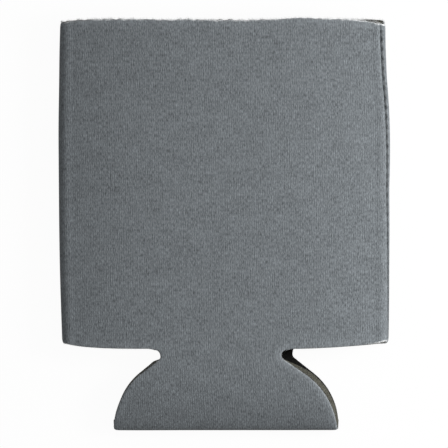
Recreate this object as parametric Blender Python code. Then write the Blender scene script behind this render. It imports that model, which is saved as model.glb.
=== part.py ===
"""Can cooler sleeve, folded flat.

One die-cut sheet of knit-faced foam is doubled over across its round base, and its two
long sides are turned in and sewn together, with a thread in each seam. The sleeve lies on
its back: +X is across it, +Y points out of the mouth, +Z is up through its thickness.
"""

import math

import bmesh
import bpy
from mathutils import Vector

# Outline of the flat sleeve, in metres
BODY_HEIGHT = 0.1020  # mouth edge to hem, at the middle
BASE_DEPTH = 0.0248  # hem to the fold of the base
MIDDLE_WIDTH = 0.1020
MOUTH_WIDTH = 0.1000
HEM_WIDTH = 0.1007
NECK_WIDTH = 0.0373  # the strip that joins the body to the base
BASE_WIDTH = 0.0689
BASE_CORNER_RADIUS = 0.0215  # each end of the half-round base
NOTCH_RADIUS = 0.0016
NOTCH_LIFT = 0.0004  # how far the hem curves up from the top of each notch
NOTCH_LIFT_REACH = 0.0025

# Thicknesses, in metres
SHEET = 0.0032
POCKET_GAP = 0.0050  # between the two panels, at the middle
SEAM_GAP = 0.0028  # between the two panels, beside the seams
FOLD_GAP = 0.0003  # between the two halves of the base, at the fold
SIDE_BEND = 0.0009  # inside radius of the bend along each side
FOLD_NOSE = 0.0026  # height of the fold's outermost line
FOLD_UNDER = 0.0022  # how far in from the fold its underside is rounded

# How the sheet hangs together
EDGE_ROLL = 0.0018  # radius of the sheet's edge where it turns into a seam
SEAM_SLIT = 0.0003  # between the two turned edges
TURNED_EDGE = 0.0030  # how far each turned edge reaches into the pocket
CREASE_GAP = 0.00015  # between a turned edge and its own panel
CREASE_ROOM = 0.0010  # length of panel that the crease takes up
CREASE_LEAD = math.radians(60)  # from the seam to the crease, round the side bend
MOUTH_SEAM_ANGLE = math.radians(40)  # seam above the middle on the right, below it on the left
HEM_SEAM_ANGLE = math.radians(20)
LEAN = 0.00045  # the hem lies this far to the right of the middle, and the mouth to the left
NECK_CENTRE = {1: -0.00105, -1: 0.0026}  # the front neck lies to the left, the back neck to the right
FOLD_CENTRE = {1: 0.0005, -1: 0.0008}  # and the two halves of the base at the fold
MOUTH_DRAW = {-1: 0.0010, 1: 0.0023}  # how far each seam pulls the front panel's mouth down
MOUTH_BACK_DRAW = {-1: 0.0005, 1: 0.0001}  # and the back panel's
HEM_DRAW = {-1: 0.00155, 1: 0.00215}  # how far each seam pulls the front panel's hem up
HEM_BACK_DRAW = {-1: 0.00155, 1: 0.0017}  # and the back panel's
HEM_CORNER_DRAW = {-1: 0.0004, 1: 0.0009}  # how much further up the front panel's corners lie
MOUTH_DRAW_START = 0.036  # where the pull begins, from the middle
HEM_DRAW_START = 0.022
MOUTH_DRAW_POWER = 2.9  # how sharply the pull grows towards the seam
HEM_DRAW_POWER = {-1: 3.5, 1: 1.6}
HEM_CORNER_POWER = 14
BACK_HEM_RISE = 0.0014  # how much higher the back panel's hem lies, at the middle
BACK_RISE_REACH = 0.024  # half the length of hem that is raised evenly

# The sewing thread
THREAD_RADIUS = 0.0002
THREAD_CLEARANCE = 0.0003
STITCH_PITCH = 0.0030
STITCH_SWING = 0.00025
THREAD_MARGIN = 0.0012  # from the mouth and from the hem

PANEL_POWER = 3.0  # how evenly the front panel is raised
BEND_POWER = 3.0  # how square each side bend is, where 2 is an ellipse
BASE_POWER = 2.8  # how sharply the base slopes down to its fold
FOLD_FULLNESS = 0.8  # how square the fold's corners are

# Mesh steps
BODY_ROWS = 8
SIDE_COLUMNS = 5
STRAP_COLUMNS = 10
BEND_STEPS = 6
ROLL_STEPS = 4
NOTCH_ROWS = 6
SLOPE_ROWS = 2
TIP_ROWS = 8
FOLD_CORNER_STEPS = 4

MOUTH_Y = (BODY_HEIGHT + BASE_DEPTH) / 2
HEM_Y = MOUTH_Y - BODY_HEIGHT
FOLD_Y = HEM_Y - BASE_DEPTH
INNER_FOLD_Y = FOLD_Y + SHEET + FOLD_GAP / 2
SIDE_REACH = SHEET + SIDE_BEND
SIDE_HEIGHT = SHEET + SEAM_GAP / 2
CREASE_HEIGHT = SEAM_GAP / 2 - CREASE_GAP  # from the middle of the thickness
SEAM_COLUMNS = BEND_STEPS + ROLL_STEPS + 2
FRONT, BACK = 1, -1
LEFT, RIGHT = -1, 1

KNIT_GREY = (0.168, 0.184, 0.195, 1.0)
THREAD_GREY = (0.105, 0.115, 0.122, 1.0)


def clear_scene():
    """Remove every object of the open scene."""
    for item in list(bpy.data.objects):
        bpy.data.objects.remove(item)


def make_material(name, colour, roughness):
    """A plain Principled material."""
    material = bpy.data.materials.new(name)
    material.use_nodes = True
    shader = material.node_tree.nodes["Principled BSDF"]
    shader.inputs["Base Color"].default_value = colour
    shader.inputs["Roughness"].default_value = roughness
    shader.inputs["Metallic"].default_value = 0.0
    return material


def mix(a, b, share):
    """The value that lies a share of the way from a to b."""
    return a + (b - a) * share


def height_at(share):
    """Height of a body row: 0 at the hem and 1 at the mouth."""
    return mix(HEM_Y, MOUTH_Y, share)


def half_width(share):
    """Half the body's width, fullest at mid-height."""
    end_width = MOUTH_WIDTH if share > 0.5 else HEM_WIDTH
    from_middle = abs(share - 0.5) / 0.5
    return (MIDDLE_WIDTH - (MIDDLE_WIDTH - end_width) * from_middle**2) / 2


def panel_run(share):
    """Half the width of the flat part of a panel, between the two side bends."""
    return half_width(share) - SIDE_REACH


def pocket_gap(run_share):
    """Space between the panels, at a share of the way from the middle to a side bend."""
    raised = 1 - min(abs(run_share), 1.0) ** PANEL_POWER
    return SEAM_GAP + (POCKET_GAP - SEAM_GAP) * raised


def seam_angle(share, side):
    """Where the seam lies on the side bend, from the middle of the thickness up."""
    return side * mix(HEM_SEAM_ANGLE, MOUTH_SEAM_ANGLE, share)


def bend_reach(angle):
    """Distance from the middle of a side bend to its outer face."""
    across = abs(math.cos(angle)) / SIDE_REACH
    upright = abs(math.sin(angle)) / SIDE_HEIGHT
    return (across**BEND_POWER + upright**BEND_POWER) ** (-1 / BEND_POWER)


def bend_normal(angle):
    """Outward direction of a side bend's outer face, as (x, z)."""
    across = abs(math.cos(angle)) ** (BEND_POWER - 1) / SIDE_REACH**BEND_POWER
    upright = abs(math.sin(angle)) ** (BEND_POWER - 1) / SIDE_HEIGHT**BEND_POWER
    return Vector((math.copysign(across, math.cos(angle)), math.copysign(upright, angle))).normalized()


def bend_point(share, side, angle, inset):
    """A point on the outer side bend, or under it by the inset along its normal."""
    radial = Vector((math.cos(angle), math.sin(angle)))
    place = bend_reach(angle) * radial - inset * bend_normal(angle)
    return side * (panel_run(share) + place.x), SIDE_HEIGHT + place.y


def bend_radius(angle):
    """Length of bend for each radian at an angle."""
    radial = Vector((math.cos(angle), math.sin(angle)))
    return bend_reach(angle) / bend_normal(angle).dot(radial)


def crease_path(share, side, sheet):
    """Inner points of one sheet from its panel, round the side bend, to the crease."""
    flat = sheet * math.pi / 2
    crease = sheet * min(sheet * seam_angle(share, side) + CREASE_LEAD, math.pi / 2)
    arc = abs(flat - crease) * SEAM_GAP / 2
    points = []
    for k in range(1, BEND_STEPS + ROLL_STEPS + 1):
        along = (CREASE_ROOM + arc) * k / (BEND_STEPS + ROLL_STEPS) - CREASE_ROOM
        angle = mix(flat, crease, max(along, 0.0) / arc) if arc else flat
        x = panel_run(share) + min(along, 0.0) + SIDE_BEND * math.cos(angle)
        points.append((side * x, SIDE_HEIGHT + SEAM_GAP / 2 * math.sin(angle)))
    return points


def bend_path(share, side, sheet):
    """Outer points of one sheet, round the side bend and over the roll into the seam."""
    seam = seam_angle(share, side)
    radius = bend_radius(seam)
    edge = seam + sheet * SEAM_SLIT / 2 / radius
    roll_start = edge + sheet * EDGE_ROLL / radius
    flat = sheet * math.pi / 2
    bend = [
        bend_point(share, side, mix(flat, roll_start, k / BEND_STEPS), 0.0)
        for k in range(1, BEND_STEPS + 1)
    ]
    roll = []
    for k in range(1, ROLL_STEPS + 1):
        turn = math.pi / 2 * k / ROLL_STEPS
        angle = edge + sheet * EDGE_ROLL * (1 - math.sin(turn)) / radius
        roll.append(bend_point(share, side, angle, EDGE_ROLL * (1 - math.cos(turn))))
    return bend + roll


def seam_columns(share, side, sheet):
    """Outer and inner (x, z) pairs of one sheet, from its flat panel to its turned edge."""
    run = panel_run(share)
    outer_z = SIDE_HEIGHT + sheet * SEAM_SLIT / 2
    inner_z = SIDE_HEIGHT + sheet * CREASE_HEIGHT
    pairs = list(zip(bend_path(share, side, sheet), crease_path(share, side, sheet), strict=True))
    pairs.append(((side * run, outer_z), (side * (run - CREASE_ROOM / 2), inner_z)))
    pairs.append(((side * (run - TURNED_EDGE), outer_z), (side * (run - TURNED_EDGE), inner_z)))
    return pairs


def panel_pair(share, sheet, outer_share, inner_share):
    """Outer and inner (x, z) pair on the flat part of a panel."""
    outer_x = outer_share * panel_run(share)
    inner_x = inner_share * panel_run(share)
    if sheet == BACK:
        return (outer_x, 0.0), (inner_x, SHEET)
    inner_z = SHEET + pocket_gap(outer_share)
    return (outer_x, inner_z + SHEET), (inner_x, inner_z)


def strap_shares():
    """Places across the neck and the base, from -1 to 1."""
    return [2 * k / STRAP_COLUMNS - 1 for k in range(STRAP_COLUMNS + 1)]


def panel_columns(sheet):
    """Outer and inner run shares of a panel's columns, from left to right."""
    centre, flare, run = NECK_CENTRE[sheet] - LEAN, NECK_WIDTH / 2 + NOTCH_RADIUS, panel_run(0)
    outer = panel_places(run, centre, flare)
    inner = panel_places(run - CREASE_ROOM, centre, flare)
    return [(a / run, b / run) for a, b in zip(outer, inner, strict=True)]


def panel_places(run, centre, flare):
    """Places across a panel, the strap's own places among them."""
    left = [mix(-run, centre - flare, k / SIDE_COLUMNS) for k in range(SIDE_COLUMNS)]
    strap = [centre + flare * place for place in strap_shares()]
    right = [mix(centre + flare, run, (k + 1) / SIDE_COLUMNS) for k in range(SIDE_COLUMNS)]
    return left + strap + right


def drawn(share, x, z):
    """How far the seams pull a point along the sleeve."""
    side = LEFT if x < 0 else RIGHT
    front = min(max(z / (2 * SIDE_HEIGHT), 0.0), 1.0)
    reach = half_width(share)
    mouth = max(abs(x) - MOUTH_DRAW_START, 0.0) / (reach - MOUTH_DRAW_START)
    hem = max(abs(x) - HEM_DRAW_START, 0.0) / (reach - HEM_DRAW_START)
    raised = max(abs(x) - BACK_RISE_REACH, 0.0) / (reach - BACK_RISE_REACH)
    back = 1 - min(max((z - SHEET) / SEAM_GAP, 0.0), 1.0)
    down = mix(MOUTH_BACK_DRAW[side], MOUTH_DRAW[side], front) * mouth**MOUTH_DRAW_POWER
    up = mix(HEM_BACK_DRAW[side], HEM_DRAW[side], front) * hem ** HEM_DRAW_POWER[side]
    up += HEM_CORNER_DRAW[side] * front * hem**HEM_CORNER_POWER
    up += BACK_HEM_RISE * back * (1 - raised**2) + notch_lift(x, back)
    return up * (1 - share) ** 2 - down * share**2


def notch_lift(x, back):
    """How far the hem has curved up from the top of the nearer notch, on the front or the back."""
    centre = mix(NECK_CENTRE[FRONT], NECK_CENTRE[BACK], back) - LEAN
    beyond = abs(x - centre) - NECK_WIDTH / 2 - NOTCH_RADIUS
    share = min(max(beyond / NOTCH_LIFT_REACH, 0.0), 1.0)
    return NOTCH_LIFT * share * (2 - share)


def lean(share):
    """How far a body row lies to the right."""
    return LEAN * (1 - 2 * share)


def placed(share, point):
    """The 3-D point of a body row's (x, z)."""
    x, z = point
    return Vector((x + lean(share), height_at(share) + drawn(share, x, z), z))


def body_row(share, sheet):
    """Outer and inner points of one sheet at one height, from its left seam to its right."""
    pairs = list(reversed(seam_columns(share, LEFT, sheet)))
    pairs += [panel_pair(share, sheet, *places) for places in panel_columns(sheet)]
    pairs += seam_columns(share, RIGHT, sheet)
    return [(placed(share, outer), placed(share, inner)) for outer, inner in pairs]


class BaseOutline:
    """Half-width of the neck and the half-round base at each height.

    A round notch end and the base's round corner are joined by the line that touches both.
    """

    def __init__(self):
        self.notch = Vector((NECK_WIDTH / 2 + NOTCH_RADIUS, HEM_Y - NOTCH_RADIUS))
        self.corner = Vector((BASE_WIDTH / 2 - BASE_CORNER_RADIUS, FOLD_Y))
        between = self.notch - self.corner
        lean = math.asin((NOTCH_RADIUS + BASE_CORNER_RADIUS) / between.length)
        line_angle = math.atan2(between.y, between.x) + lean
        normal = Vector((math.sin(line_angle), -math.cos(line_angle)))
        self.line_top = self.notch - NOTCH_RADIUS * normal
        self.line_bottom = self.corner + BASE_CORNER_RADIUS * normal

    def half(self, y):
        """Half-width at a height."""
        if y >= self.line_top.y:
            return self.notch.x - math.sqrt(max(NOTCH_RADIUS**2 - (y - self.notch.y) ** 2, 0.0))
        if y >= self.line_bottom.y:
            share = (self.line_top.y - y) / (self.line_top.y - self.line_bottom.y)
            return mix(self.line_top.x, self.line_bottom.x, share)
        return self.corner.x + math.sqrt(BASE_CORNER_RADIUS**2 - (y - FOLD_Y) ** 2)

    def rows(self):
        """Heights of the rows from just under the hem to where the inner fold begins."""
        end = math.asin((self.line_top.y - self.notch.y) / NOTCH_RADIUS)
        notch = [
            self.notch.y + NOTCH_RADIUS * math.sin(mix(math.pi / 2, end, k / NOTCH_ROWS))
            for k in range(1, NOTCH_ROWS + 1)
        ]
        slope = [
            mix(self.line_top.y, self.line_bottom.y, k / SLOPE_ROWS) for k in range(1, SLOPE_ROWS + 1)
        ]
        low = [mix(self.line_bottom.y, INNER_FOLD_Y, k / TIP_ROWS) for k in range(1, TIP_ROWS + 1)]
        return notch + slope + low


def strap_centre(y, sheet):
    """The strap's middle slides from the neck's place to its place at the fold."""
    return mix(FOLD_CENTRE[sheet], NECK_CENTRE[sheet], (y - FOLD_Y) / BASE_DEPTH)


def strap_gap(x, y):
    """Space between the two halves of the base."""
    share = (max(y, INNER_FOLD_Y) - INNER_FOLD_Y) / (HEM_Y - INNER_FOLD_Y)
    closing = 1 - (1 - share) ** BASE_POWER
    return FOLD_GAP + (pocket_gap((x - LEAN) / panel_run(0)) - FOLD_GAP) * closing


def strap_row(outline, y, sheet):
    """Outer and inner points across the neck or base at one height."""
    pairs = []
    for place in strap_shares():
        x = strap_centre(y, sheet) + outline.half(y) * place
        if sheet == BACK:
            high = y + BACK_HEM_RISE * max(y - outline.notch.y, 0.0) / NOTCH_RADIUS
            pairs.append((Vector((x, high, 0.0)), Vector((x, high, SHEET))))
        else:
            inner_z = SHEET + strap_gap(x, y)
            pairs.append((Vector((x, y, inner_z + SHEET)), Vector((x, y, inner_z))))
    return pairs


def corner_curve(start, corner, end):
    """Points of a curve that leaves the start and reaches the end along the lines to a corner."""
    handles = [place.lerp(corner, FOLD_FULLNESS) for place in (start, end)]
    points = []
    for k in range(1, FOLD_CORNER_STEPS + 1):
        t = k / FOLD_CORNER_STEPS
        point = (1 - t) ** 3 * start + t**3 * end
        points.append(point + 3 * t * (1 - t) * ((1 - t) * handles[0] + t * handles[1]))
    return points


def fold_profile():
    """Outer (y, z) points round the fold, from the front half to the back half."""
    top = 2 * SHEET + FOLD_GAP
    slope = BASE_POWER * (POCKET_GAP - FOLD_GAP) / (HEM_Y - INNER_FOLD_Y)
    fall = min(slope * (INNER_FOLD_Y - FOLD_Y), top - FOLD_NOSE)
    nose = Vector((FOLD_Y, FOLD_NOSE))
    upper = corner_curve(Vector((INNER_FOLD_Y, top)), Vector((FOLD_Y, top - fall)), nose)
    lower = corner_curve(nose, Vector((FOLD_Y, 0.0)), Vector((FOLD_Y + FOLD_UNDER, 0.0)))
    return upper + lower


def fold_rows(outline):
    """Rows of outer and inner points that carry the base round its fold."""
    profile = fold_profile()
    start, end = strap_centre(INNER_FOLD_Y, FRONT), strap_centre(INNER_FOLD_Y, BACK)
    rows = []
    for k, (y, z) in enumerate(profile):
        share = (k + 1) / (len(profile) + 1)
        turn = math.pi / 2 + math.pi * share
        inner_y = INNER_FOLD_Y + FOLD_GAP / 2 * math.cos(turn)
        inner_z = SHEET + FOLD_GAP / 2 * (1 + math.sin(turn))
        half = outline.half(y)
        across = [mix(start, end, share) + half * place for place in strap_shares()]
        rows.append([(Vector((x, y, z)), Vector((x, inner_y, inner_z))) for x in across])
    return rows


class SheetMesh:
    """A sheet with an outer and an inner face, built from rows of point pairs."""

    def __init__(self):
        self.mesh = bmesh.new()
        self.seen = {}

    def add_row(self, pairs):
        """Vertices for a row of (outer, inner) pairs."""
        return [(self.mesh.verts.new(outer), self.mesh.verts.new(inner)) for outer, inner in pairs]

    def join(self, low, high):
        """Outer and inner faces between two rows with as many pairs each."""
        for k in range(len(low) - 1):
            corners = (low[k], low[k + 1], high[k + 1], high[k])
            self.mesh.faces.new([outer for outer, _ in corners])
            self.mesh.faces.new([inner for _, inner in reversed(corners)])
            for one, other in zip(corners, corners[1:] + corners[:1], strict=True):
                if (other, one) in self.seen:
                    del self.seen[(other, one)]
                else:
                    self.seen[(one, other)] = True

    def close_edges(self):
        """Cut faces all round, wherever a patch of the sheet has no neighbour."""
        for one, other in self.seen:
            self.mesh.faces.new((other[0], one[0], one[1], other[1]))

    def finish(self, name, material):
        """Write the mesh to a new object."""
        bmesh.ops.recalc_face_normals(self.mesh, faces=self.mesh.faces)
        data = bpy.data.meshes.new(name)
        self.mesh.to_mesh(data)
        self.mesh.free()
        data.shade_smooth()
        data.set_sharp_from_angle(angle=math.radians(35))
        data.materials.append(material)
        item = bpy.data.objects.new(name, data)
        bpy.context.scene.collection.objects.link(item)
        return item


def build_sleeve(material):
    """The folded sheet: front panel, neck, base, neck and back panel in one piece."""
    sheet_mesh = SheetMesh()
    hems = {}
    for sheet in (FRONT, BACK):
        rows = [
            sheet_mesh.add_row(body_row(k / BODY_ROWS, sheet)) for k in range(BODY_ROWS + 1)
        ]
        hems[sheet] = rows[0]
        if sheet == BACK:
            rows = [list(reversed(row)) for row in rows]
        for low, high in zip(rows, rows[1:], strict=False):
            sheet_mesh.join(low, high)

    outline = BaseOutline()
    first = SEAM_COLUMNS + SIDE_COLUMNS
    necks = {sheet: hems[sheet][first : first + STRAP_COLUMNS + 1] for sheet in hems}
    front = [sheet_mesh.add_row(strap_row(outline, y, FRONT)) for y in outline.rows()]
    fold = [sheet_mesh.add_row(pairs) for pairs in fold_rows(outline)]
    back = [sheet_mesh.add_row(strap_row(outline, y, BACK)) for y in outline.rows()]
    strap = [necks[FRONT], *front, *fold, *reversed(back), necks[BACK]]
    for high, low in zip(strap, strap[1:], strict=False):
        sheet_mesh.join(low, high)
    sheet_mesh.close_edges()
    return sheet_mesh.finish("sleeve", material)


def thread_depth():
    """How deep the thread lies under the bend, to clear both rolled edges of the seam."""
    reach = EDGE_ROLL + THREAD_CLEARANCE + THREAD_RADIUS
    across = EDGE_ROLL + SEAM_SLIT / 2 - STITCH_SWING
    return EDGE_ROLL - math.sqrt(reach**2 - across**2)


def thread_points(side):
    """The thread's route: it swings from one edge of the seam to the other."""
    bottom = HEM_Y + NOTCH_LIFT + HEM_DRAW[side] + THREAD_MARGIN
    top = MOUTH_Y - MOUTH_DRAW[side] - THREAD_MARGIN
    swings = 2 * int((top - bottom) / STITCH_PITCH)
    points = []
    for k in range(swings + 1):
        y = mix(bottom, top, k / swings)
        share = (y - HEM_Y) / BODY_HEIGHT
        seam = seam_angle(share, side)
        swing = STITCH_SWING * (1 if k % 2 else -1)
        angle = seam + swing / bend_radius(seam)
        x, z = bend_point(share, side, angle, thread_depth())
        points.append(Vector((x + lean(share), y, z)))
    return points


def build_thread(name, side, material):
    """The sewing thread of one side seam."""
    data = bpy.data.curves.new(name, "CURVE")
    data.dimensions = "3D"
    data.bevel_depth = THREAD_RADIUS
    data.bevel_resolution = 1
    data.use_fill_caps = True
    points = thread_points(side)
    spline = data.splines.new("POLY")
    spline.points.add(len(points) - 1)
    for target, point in zip(spline.points, points, strict=True):
        target.co = (*point, 1.0)
    data.materials.append(material)
    item = bpy.data.objects.new(name, data)
    bpy.context.scene.collection.objects.link(item)
    return item


def main():
    """Build the sleeve and its two seam threads."""
    clear_scene()
    knit = make_material("grey_knit", KNIT_GREY, 0.92)
    thread = make_material("sewing_thread", THREAD_GREY, 0.75)
    build_sleeve(knit)
    build_thread("seam_thread_left", LEFT, thread)
    build_thread("seam_thread_right", RIGHT, thread)


main()
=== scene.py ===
"""A can cooler sleeve of knit-faced foam, folded flat and lying on its back.

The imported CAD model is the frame: +X is across the sleeve, +Y points out of its mouth and +Z
up through its thickness, all in metres. The pieces built over it are the knit face, the foam
under it, the sewing thread in each side seam and the loose fibres along the knit's cut edges.
"""

import logging
import math
from collections.abc import Callable, Iterable, Sequence
from dataclasses import dataclass, field
from enum import Enum

import bmesh
import bpy
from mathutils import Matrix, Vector, kdtree, noise


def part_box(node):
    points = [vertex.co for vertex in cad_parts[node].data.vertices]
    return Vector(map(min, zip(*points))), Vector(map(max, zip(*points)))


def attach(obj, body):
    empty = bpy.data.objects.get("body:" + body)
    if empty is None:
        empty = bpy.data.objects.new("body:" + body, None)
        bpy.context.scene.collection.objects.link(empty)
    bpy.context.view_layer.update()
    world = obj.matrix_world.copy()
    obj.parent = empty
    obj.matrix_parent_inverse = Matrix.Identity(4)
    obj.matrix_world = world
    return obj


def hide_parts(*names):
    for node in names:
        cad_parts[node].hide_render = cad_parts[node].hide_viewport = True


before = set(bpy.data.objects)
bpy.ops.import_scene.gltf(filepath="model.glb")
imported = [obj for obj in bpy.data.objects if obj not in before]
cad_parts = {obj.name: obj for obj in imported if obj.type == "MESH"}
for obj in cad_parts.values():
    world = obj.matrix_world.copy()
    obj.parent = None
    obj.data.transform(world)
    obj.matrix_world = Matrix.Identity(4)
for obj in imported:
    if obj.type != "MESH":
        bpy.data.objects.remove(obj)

LOG = logging.getLogger("can_cooler_sleeve")
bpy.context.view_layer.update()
MM = 0.001
CROWDING = 1.7
CUT_BULGE_POWER = 0.9
SHARP_ANGLE = math.radians(50)


class Panel(Enum):
    """The two panels of the folded sleeve, and the way that each one faces along Z."""

    FRONT = 1
    BACK = -1


class Side(Enum):
    """The two sewn sides, and the way that each one lies along X."""

    LEFT = -1
    RIGHT = 1


def mix(a: float, b: float, share: float) -> float:
    """The value that lies a share of the way from a to b."""
    return a + (b - a) * share


def crowded(start: float, end: float, count: int) -> list[float]:
    """Values from start to end that crowd towards start.

    Args:
        start: The first value.
        end: The last value.
        count: The number of steps between them.

    Returns:
        One more value than steps.
    """
    return [mix(start, end, (k / count) ** CROWDING) for k in range(count + 1)]


def by_corner(
    left: tuple[float, float], right: tuple[float, float]
) -> dict[tuple[Side, Panel], float]:
    """Lengths for the (front, back) panels at each side, turned from millimetres into metres."""
    values = {Side.LEFT: left, Side.RIGHT: right}
    return {(side, panel): values[side][k] * MM for side in Side for k, panel in enumerate(Panel)}


@dataclass(frozen=True)
class SleeveSizes:
    """Sizes of the folded sleeve, in metres. Its overall places come from the CAD box."""

    mouth_y: float
    fold_y: float
    thickness: float
    body_height: float = 102.0 * MM
    middle_width: float = 102.0 * MM
    mouth_width: float = 100.0 * MM
    hem_width: float = 100.7 * MM
    neck_width: float = 37.3 * MM
    base_width: float = 68.9 * MM
    base_corner_radius: float = 21.5 * MM
    notch_radius: float = 1.6 * MM
    notch_lift: float = 0.4 * MM
    notch_lift_reach: float = 2.5 * MM
    sheet: float = 3.2 * MM
    seam_gap: float = 2.8 * MM
    fold_gap: float = 0.3 * MM
    side_bend: float = 0.9 * MM
    fold_nose: float = 2.6 * MM
    fold_under: float = 2.2 * MM
    edge_roll: float = 1.8 * MM
    seam_slit: float = 0.3 * MM
    turned_edge: float = 3.0 * MM
    crease_gap: float = 0.15 * MM
    crease_room: float = 1.0 * MM
    crease_lead: float = math.radians(60)
    mouth_seam_angle: float = math.radians(50)
    hem_seam_angle: float = math.radians(8)
    seam_ease: float = 0.5
    lean: float = 0.45 * MM
    neck_centre: dict[Panel, float] = field(
        default_factory=lambda: {Panel.FRONT: -1.05 * MM, Panel.BACK: 2.6 * MM}
    )
    fold_centre: dict[Panel, float] = field(
        default_factory=lambda: {Panel.FRONT: 0.5 * MM, Panel.BACK: 0.8 * MM}
    )
    mouth_draw: dict[tuple[Side, Panel], float] = field(
        default_factory=lambda: by_corner(left=(1.0, 0.5), right=(2.3, 0.1))
    )
    hem_draw: dict[tuple[Side, Panel], float] = field(
        default_factory=lambda: by_corner(left=(1.55, 1.55), right=(2.0, 1.4))
    )
    mouth_draw_start: float = 36.0 * MM
    hem_draw_start: float = 22.0 * MM
    mouth_draw_power: float = 2.9
    hem_draw_power: dict[Side, float] = field(default_factory=lambda: {Side.LEFT: 3.5, Side.RIGHT: 1.6})
    hem_corner_draw: dict[Side, float] = field(
        default_factory=lambda: {Side.LEFT: 0.4 * MM, Side.RIGHT: 0.9 * MM}
    )
    hem_corner_power: float = 14.0
    back_hem_rise: float = 1.4 * MM
    back_rise_reach: float = 24.0 * MM
    back_lip_rise: float = 0.6 * MM
    mouth_stray: float = 0.55 * MM
    mouth_slack: float = 0.12 * MM
    stray_scale: float = 65.0
    stray_seed: float = 109.15
    stray_power: int = 40
    ragged_share: float = 0.6
    ragged_scale: float = 620.0
    ragged_seed: float = 9.1
    left_tuck: float = 0.58 * MM
    tuck_span: float = 1.07
    tuck_power: int = 6
    tuck_ease: float = 0.45
    right_swell: float = 0.42 * MM
    swell_share: float = 0.66
    swell_reach: float = 0.17
    corner_flare: float = 0.25 * MM
    flare_share: float = 0.93
    panel_power: float = 3.0
    bend_power: float = 3.0
    base_power: float = 2.8
    fold_fullness: float = 0.8
    thread_margin: float = 1.2 * MM

    @classmethod
    def from_box(cls, low: Vector, high: Vector) -> "SleeveSizes":
        """Sizes for the sleeve that fills a box.

        Args:
            low: The CAD solid's lowest corner.
            high: Its highest corner.

        Returns:
            The sizes, with the sleeve's ends and thickness from the box.
        """
        return cls(mouth_y=high.y, fold_y=low.y, thickness=high.z - low.z)

    @property
    def hem_y(self) -> float:
        """Where the body ends and the neck begins."""
        return self.mouth_y - self.body_height

    @property
    def inner_fold_y(self) -> float:
        """Where the two halves of the base meet inside the fold."""
        return self.fold_y + self.sheet + self.fold_gap / 2

    @property
    def pocket_gap(self) -> float:
        """Space between the panels at the middle."""
        return self.thickness - 2 * self.sheet

    @property
    def side_reach(self) -> float:
        """How far a side bend reaches past the flat part of a panel."""
        return self.sheet + self.side_bend

    @property
    def side_height(self) -> float:
        """The middle of the thickness at a seam."""
        return self.sheet + self.seam_gap / 2


@dataclass(frozen=True)
class MeshSteps:
    """How finely the sheet is divided."""

    body: int = 40
    edge_rows: int = 9
    edge_zone: float = 3.2 * MM
    side: int = 36
    strap: int = 48
    strap_edge: int = 7
    strap_zone: float = 0.12
    bend: int = 14
    roll: int = 8
    turned: int = 3
    notch: int = 12
    slope: int = 8
    tip: int = 26
    fold_corner: int = 12
    border_step: float = 0.2 * MM
    cut_face: int = 7


@dataclass(frozen=True)
class Station:
    """One place on the sheet: its outer and inner points, and its place on the flat cloth."""

    outer: Vector
    inner: Vector
    cloth: tuple[float, float]


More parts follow.
